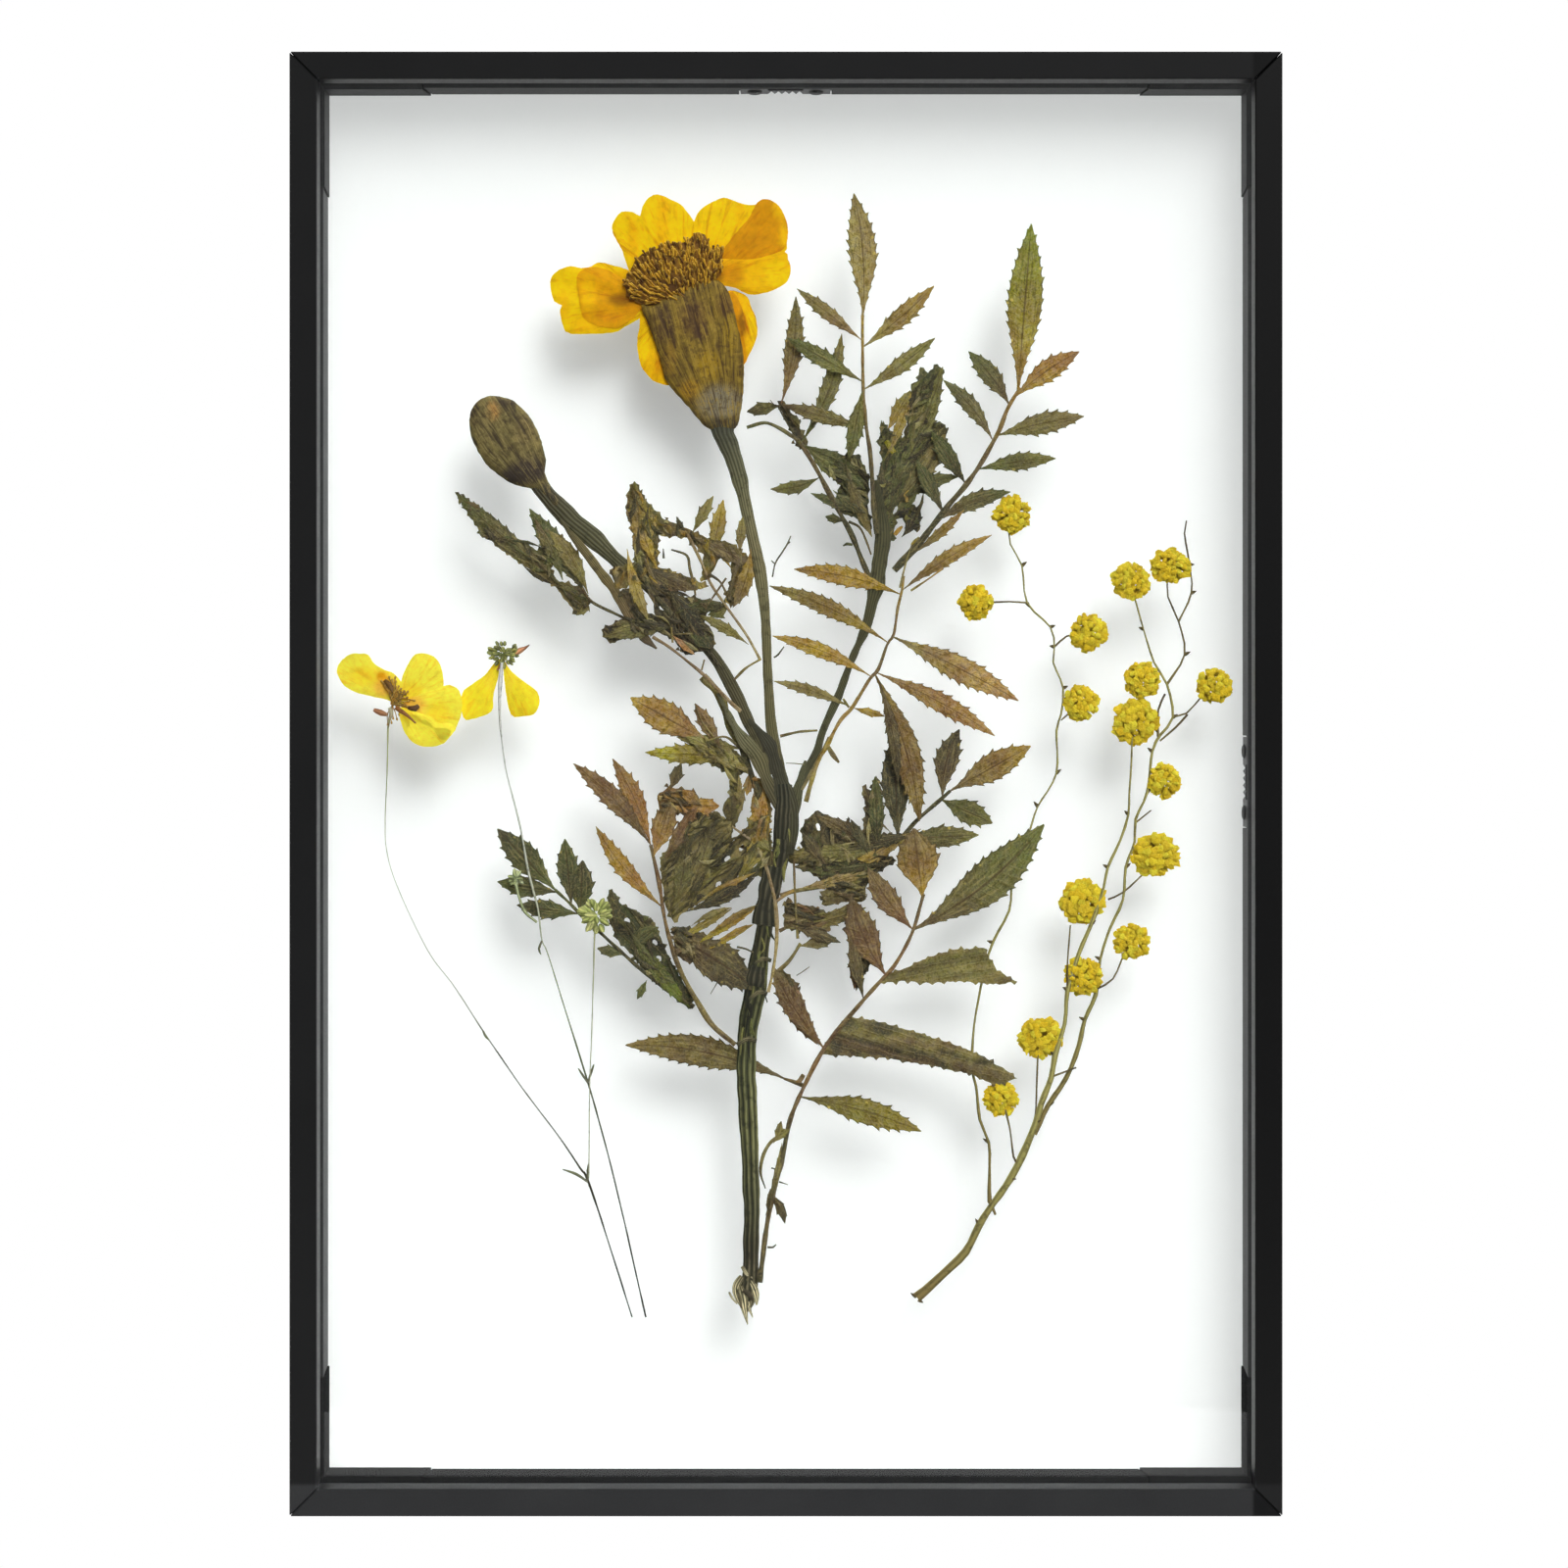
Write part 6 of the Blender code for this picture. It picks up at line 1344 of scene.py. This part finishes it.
# The seed heads are crowded small green fruits, each a pressed drop with a beak, on a stalk of their own.
# The hair-thin stems of the two buttercups are made here too, with small bracts along them.
def seed_cluster(sprig, outline, count, depth, size, shades, seed):
    """Small pressed fruits, crowded inside an outline and turned outwards from its middle."""
    dice = random.Random(seed)
    middle = Vector((sum(point[0] for point in outline), sum(point[1] for point in outline))) / len(outline)
    made = 0
    while made < count:
        point = Vector((dice.uniform(min(p[0] for p in outline), max(p[0] for p in outline)),
                        dice.uniform(min(p[1] for p in outline), max(p[1] for p in outline))))
        if not inside(point, outline):
            continue
        made += 1
        ahead = (point - middle).normalized() if (point - middle).length > 0.5 else Vector((0, 1))
        long = size * dice.uniform(0.8, 1.3)
        shade = dice.choice(shades)
        start = point - ahead * long * 0.6
        strand(sprig, [(*start, size * 0.35), (*(start + ahead * long * 0.4), size * 0.9),
                       (*(start + ahead * long), size * 0.7), (*(start + ahead * long * 1.3), size * 0.2)],
               depth + dice.uniform(-0.25, 0.25), 0.5, [shade, between(shade, tone(225, 225, 150), 0.35)],
               sides=8, seed=made, spacing=2.0)


fruit_finish = stem_finish("green fruit", 3, 0.6, (2.4, 2.3, 2.3), tone(70, 76, 34))
right_head = Sprig()
seed_cluster(right_head, [(499, 662), (507, 656), (522, 657), (529, 662), (527, 671), (519, 679), (511, 680),
    (500, 674)], 70, 8.9, 4.2, [tone(112, 120, 52), tone(84, 94, 44), tone(140, 140, 62), tone(70, 74, 40)], 51)
strand(right_head, [(524, 668, 5), (530, 664, 6), (536, 661, 3), (540, 658, 1)], 9.0, 0.4,
    [tone(206, 150, 100), tone(212, 150, 110), tone(110, 74, 56)], sides=8, seed=52)
strand(right_head, [(507, 684, 2), (510, 680, 3), (514, 676, 3)], 9.0, 0.4, [tone(180, 120, 70), tone(150, 110, 60)],
    sides=8)
grow(right_head, "buttercup_right_head", fruit_finish, [])

pale_stem = tone(176, 176, 132)
grey_stem = tone(128, 128, 104)
left_stem = Sprig()
strand(left_stem, [(400, 724, 2.4), (398, 733, 2.8), (396, 742, 2.0), (395, 789, 1.1), (393, 840, 0.9),
    (395, 870, 0.8), (406, 906, 0.8), (436, 969, 0.9), (463, 1006, 1.0), (493, 1052, 1.4), (532, 1109, 1.1),
    (569, 1158, 1.2), (592, 1192, 1.8), (600, 1205, 2.4), (622, 1271, 1.5), (645, 1344, 1.6)], 8.45, 0.35,
    [tone(222, 220, 170), tone(190, 196, 130), tone(214, 216, 188), tone(232, 232, 220), tone(176, 170, 150),
    tone(78, 72, 58), tone(90, 84, 66), tone(66, 60, 46), tone(50, 46, 36), tone(30, 28, 24)], sides=8, uneven=0.3,
    seed=61)
for bract in ([(600, 1206, 2), (588, 1198, 3), (574, 1193, 1)], [(600, 1204, 2), (600, 1194, 3), (601, 1186, 1)],
              [(493, 1052, 2), (496, 1058, 2.5), (500, 1062, 1)]):
    strand(left_stem, bract, 8.3, 0.3, [grey_stem, tone(120, 126, 84)], sides=8)
grow(left_stem, "buttercup_stem_left_pressed", thread_finish, ["buttercup_stem_left"])
right_stem = Sprig()
strand(right_stem, [(512, 676, 3.4), (510, 700, 4.4), (510, 726, 3.0), (512, 754, 1.5), (517, 789, 1.4),
    (530, 840, 1.9), (539, 889, 2.4), (549, 928, 2.1), (553, 959, 1.5), (559, 973, 1.3), (575, 1025, 1.3),
    (600, 1105, 1.8), (617, 1165, 1.4), (632, 1225, 1.6), (659, 1344, 1.8)], 8.45, 0.35,
    [tone(240, 240, 238), tone(234, 234, 230), tone(226, 228, 214), tone(214, 216, 190), tone(150, 156, 116),
    tone(92, 98, 64), tone(74, 72, 52), tone(56, 54, 40), tone(32, 30, 26)], sides=8, uneven=0.3, seed=63)
for bract in ([(600, 1105, 2), (594, 1096, 2.5), (590, 1090, 1)], [(600, 1104, 2), (604, 1092, 2.5), (606, 1086, 1)],
              [(553, 960, 2), (550, 968, 2.5), (552, 974, 1)]):
    strand(right_stem, bract, 8.3, 0.3, [grey_stem, tone(110, 116, 76)], sides=8)
grow(right_stem, "buttercup_stem_right_pressed", thread_finish, ["buttercup_stem_right"])

seed_head = Sprig()
seed_cluster(seed_head, [(608 + 16 * math.cos(k * 0.628), 934 + 16 * math.sin(k * 0.628)) for k in range(10)], 64,
    7.75, 6.5, [tone(150, 160, 84), tone(170, 176, 100), tone(128, 140, 70), tone(186, 188, 120)], 71)
strand(seed_head, [(608, 945, 2.2), (607, 953, 1.6), (604, 1052, 1.1), (602, 1105, 1.1), (601, 1200, 1.1)], 7.75,
    0.35, [pale_stem, tone(200, 202, 170), tone(205, 205, 180)], sides=8, uneven=0.3, seed=72)
grow(seed_head, "seed_head_pressed", fruit_finish, ["seed_head"])
small_bud = Sprig()
seed_cluster(small_bud, [(527 + 6 * math.cos(k * 0.785), 896 + 7 * math.sin(k * 0.785)) for k in range(8)], 18, 7.75,
    5.0, [tone(170, 182, 140), tone(150, 164, 116), tone(196, 204, 170)], 73)
strand(small_bud, [(526, 900, 3), (530, 915, 3), (536, 930, 3), (548, 941, 2.6)], 7.75, 0.35,
    [tone(176, 186, 140), tone(160, 168, 122)], sides=8, uneven=0.3, seed=74)
grow(small_bud, "small_bud_pressed", fruit_finish, ["small_bud"])


# The wattle sprig is one thin branching stem with a spur at each bend, olive to grey brown.
# Its round heads are crowded with tiny flowers whose threads dried to crumbs of bright yellow.
wattle_bark = stem_finish("wattle bark", 4, 0.5, (1.5, 1.5, 1.4), tone(62, 52, 32))
crumb, tree, shader = new_finish("wattle crumbs")
tint, spot, _ = own_look(tree)
grain = speck(tree, spot, 2600.0, 3.0, 0.65)
patch = speck(tree, spot, 650.0, 3.0, 0.6)
colour = blend(tree, spread(tree, grain, 0.54, 0.68, 0.0, 0.4), tint, (*tone(186, 146, 26), 1.0))
colour = blend(tree, spread(tree, grain, 0.44, 0.32, 0.0, 0.45), colour, (*tone(250, 232, 96), 1.0))
colour = blend(tree, spread(tree, patch, 0.56, 0.70, 0.0, 0.35), colour, (*tone(196, 146, 24), 1.0))
surface(tree, shader, colour, 0.8, 0.15, grain, 0.9, 0.0004)


def wattle_ball(sprig, column, row, across, down, depth, seed):
    """A round head: knobs of crumbled threads all over a pressed ball, each with its own shade, and painted shade on
    the knobs that sink deeper into the ball.
    """
    dice = random.Random(seed)
    knobs = 120
    for number in range(knobs):
        height = 1 - 2 * (number + 0.5) / knobs
        turn = number * 2.399963 + dice.uniform(-0.3, 0.3)
        ring = math.sqrt(1 - height * height)
        middle = Vector((math.cos(turn) * ring, math.sin(turn) * ring, height)) * dice.uniform(0.74, 0.95)
        size = dice.uniform(0.14, 0.24)
        knob = bmesh.new()
        bmesh.ops.create_icosphere(knob, subdivisions=1, radius=1.0)
        shade = between(dice.choice([tone(255, 228, 54), tone(255, 238, 66), tone(255, 218, 44), tone(255, 222, 56)]),
                        tone(176, 140, 30), max(0.0, dice.uniform(-0.5, 0.35)))
        first = len(sprig.corners)
        for vertex in knob.verts:
            crumbled = 1 + 1.1 * noise.noise(vertex.co * 2.6 + Vector((seed, number * 3.1, 0.0)))
            place = middle + vertex.co * size * crumbled
            # Knobs that sit deeper in the ball are darkened: painted shade in the crevices.
            low = max(0.0, min(1.0, (0.95 - place.length) * 2.4))
            colour = between(shade, tone(160, 124, 22), low)
            sprig.corner(plan(column + place.x * across, row + place.y * down, depth + place.z * 1.15), colour)
        for face in knob.faces:
            sprig.face(tuple(first + vertex.index for vertex in face.verts),
                       tuple((vertex.co.x, vertex.co.y) for vertex in face.verts))
        knob.free()


def wattle(name, depth, twigs, balls, spurs, seed):
    """Twigs with their spurs, and the round heads of one branch."""
    branch = Sprig()
    for number, twig in enumerate(twigs):
        shades = [tone(140, 122, 72), tone(166, 158, 92), tone(180, 172, 102), tone(184, 176, 104),
                  tone(176, 166, 100)]
        if number:
            shades = [tone(150, 136, 84), tone(92, 74, 50)]
        twig = [(*point[:2], point[2] * (0.72 if point[2] < 4.5 else 0.92)) for point in twig]
        strand(branch, twig, depth + 0.05 * (number % 3), 0.6, shades, ribs=3, rib_depth=0.06, sides=12, uneven=0.3,
               seed=seed + number, spacing=11.0)
    for number, (column, row, across, down) in enumerate(spurs):
        strand(branch, [(column, row, 4.0), (column + across * 0.5, row + down * 0.5, 3.2),
                        (column + across, row + down, 0.6)],
               depth - 0.05, 0.4, [tone(112, 100, 60), tone(90, 74, 50)], sides=8, seed=number, spacing=2.5)
    grow(branch, name + "_twigs", wattle_bark, [name])
    heads = Sprig()
    for number, ball in enumerate(balls):
        wattle_ball(heads, *ball, 8.6, seed * 10 + number)
    grow(heads, name + "_heads", crumb, [name])


wattle("wattle_stem", 8.1, [[(935, 1323, 13), (944, 1316, 10), (969, 1293, 10), (985, 1277, 9), (999, 1250, 9),
    (1009, 1234, 9), (1031, 1202, 8), (1043, 1178, 8), (1056, 1145, 7), (1062, 1125, 6), (1072, 1099, 6),
    (1076, 1076, 6), (1086, 1045, 5), (1089, 1010, 5), (1100, 974, 5), (1113, 943, 5), (1126, 905, 4), (1130, 885, 4),
    (1143, 857, 4), (1151, 831, 4), (1152, 810, 3), (1154, 780, 2.6), (1155, 752, 2.4)], [(1025, 1130, 4),
    (1030, 1150, 3), (1034, 1180, 2.6), (1038, 1188, 3)], [(1059, 1070, 2.6), (1057, 1129, 2.4), (1056, 1143, 3)],
    [(1092, 944, 2.6), (1089, 984, 2.4), (1089, 1008, 3)], [(1072, 1099, 3), (1098, 1089, 2)]],
    [(1159, 737, 23, 23), (1105, 920, 23, 23), (1105, 996, 19, 19), (1062, 1059, 23, 20), (1022, 1121, 17, 17)],
    [(935, 1323, -6, -4), (937, 1326, 5, 3), (999, 1250, -4, -7), (1031, 1202, 6, 1), (1056, 1145, 6, -2),
    (1076, 1076, -5, -3), (1113, 943, 5, -4), (1130, 885, -5, -3), (1151, 831, -4, -4), (1089, 1010, -5, -3)], 81)
wattle("wattle_branch_left", 9.1, [[(1016, 1240, 4), (1010, 1226, 5), (1010, 1190, 4), (1009, 1166, 4),
    (1000, 1143, 4), (996, 1109, 3.6), (992, 1089, 3.6), (994, 1048, 3.4), (1003, 997, 3.4), (1013, 962, 3.4),
    (1030, 929, 3), (1034, 897, 3), (1052, 844, 3), (1059, 823, 3), (1078, 789, 3), (1078, 746, 3), (1083, 729, 3),
    (1085, 702, 2.8), (1075, 676, 2.8), (1076, 660, 2.8), (1072, 640, 2.6), (1048, 615, 2.6), (1043, 577, 2.4),
    (1031, 555, 2.4), (1029, 530, 2.4)], [(1048, 615, 2.6), (1030, 614, 2.4), (1005, 615, 2.4)], [(1076, 660, 2.6),
    (1089, 649, 2.4), (1105, 646, 2.4)], [(1083, 735, 2.6), (1096, 724, 2.4)]],
    [(1033, 525, 19, 19), (996, 615, 18, 18), (1111, 646, 19, 19), (1103, 717, 18, 18)],
    [(1009, 1166, -6, -4), (992, 1089, -6, -3), (1013, 962, -6, -2), (1034, 897, 5, -4), (1059, 823, -4, -5),
    (1078, 789, 5, -4), (1085, 702, 5, -2), (1076, 660, -5, -1), (1072, 640, 5, -2), (1048, 615, 3, 5),
    (1043, 577, 5, -4)], 84)
wattle("wattle_branch_right", 9.1, [[(1056, 1158, 6), (1070, 1128, 6), (1088, 1101, 5), (1101, 1068, 5),
    (1107, 1041, 5), (1118, 1015, 5), (1123, 979, 4), (1133, 947, 4), (1146, 918, 4), (1149, 885, 4), (1158, 859, 4),
    (1159, 836, 4), (1171, 808, 4), (1176, 767, 4), (1184, 750, 4), (1197, 732, 4), (1191, 698, 3.6),
    (1178, 676, 2.8), (1167, 642, 2.6), (1157, 606, 2.4)], [(1182, 752, 4), (1182, 725, 3), (1189, 708, 3)],
    [(1191, 698, 3.6), (1209, 668, 3), (1203, 634, 2.8), (1192, 609, 2.4), (1192, 586, 2.4)], [(1203, 634, 2.8),
    (1216, 605, 2.6), (1214, 576, 2.4), (1209, 544, 2.4), (1211, 531, 2)], [(1197, 732, 3), (1211, 728, 2.8),
    (1228, 709, 2.4)], [(1166, 704, 2.6), (1171, 731, 2.6), (1182, 748, 3)], [(1169, 890, 2.4), (1146, 911, 2.4),
    (1131, 918, 2.4)], [(1149, 970, 2.4), (1136, 999, 2.4), (1120, 1009, 3)], [(1160, 839, 3), (1175, 827, 2)],
    [(1184, 756, 3), (1200, 742, 2.6), (1212, 729, 3)]], [(1154, 593, 19, 19), (1194, 578, 20, 17),
    (1166, 694, 18, 18), (1239, 700, 18, 18), (1188, 797, 17, 17), (1179, 872, 24, 21), (1155, 961, 18, 18)],
    [(1070, 1128, 6, -3), (1107, 1041, -6, -3), (1123, 979, -6, -3), (1149, 885, 5, -4), (1171, 808, 5, -4),
    (1176, 767, -5, -4), (1197, 732, 5, -3), (1167, 642, -5, -2), (1209, 668, 6, -3), (1216, 605, 5, -2),
    (1214, 576, 5, 0)], 87)


# The frame, its liner and its hangers are left out of what casts the lamp's shadows.
blockers = bpy.data.collections.new("lamp blockers")
for piece in bpy.context.scene.objects:
    if piece.type == "MESH" and not piece.name.startswith(("rail_", "liner_", "hanger_", "rivet_")):
        blockers.objects.link(piece)
lamp.light_linking.blocker_collection = blockers
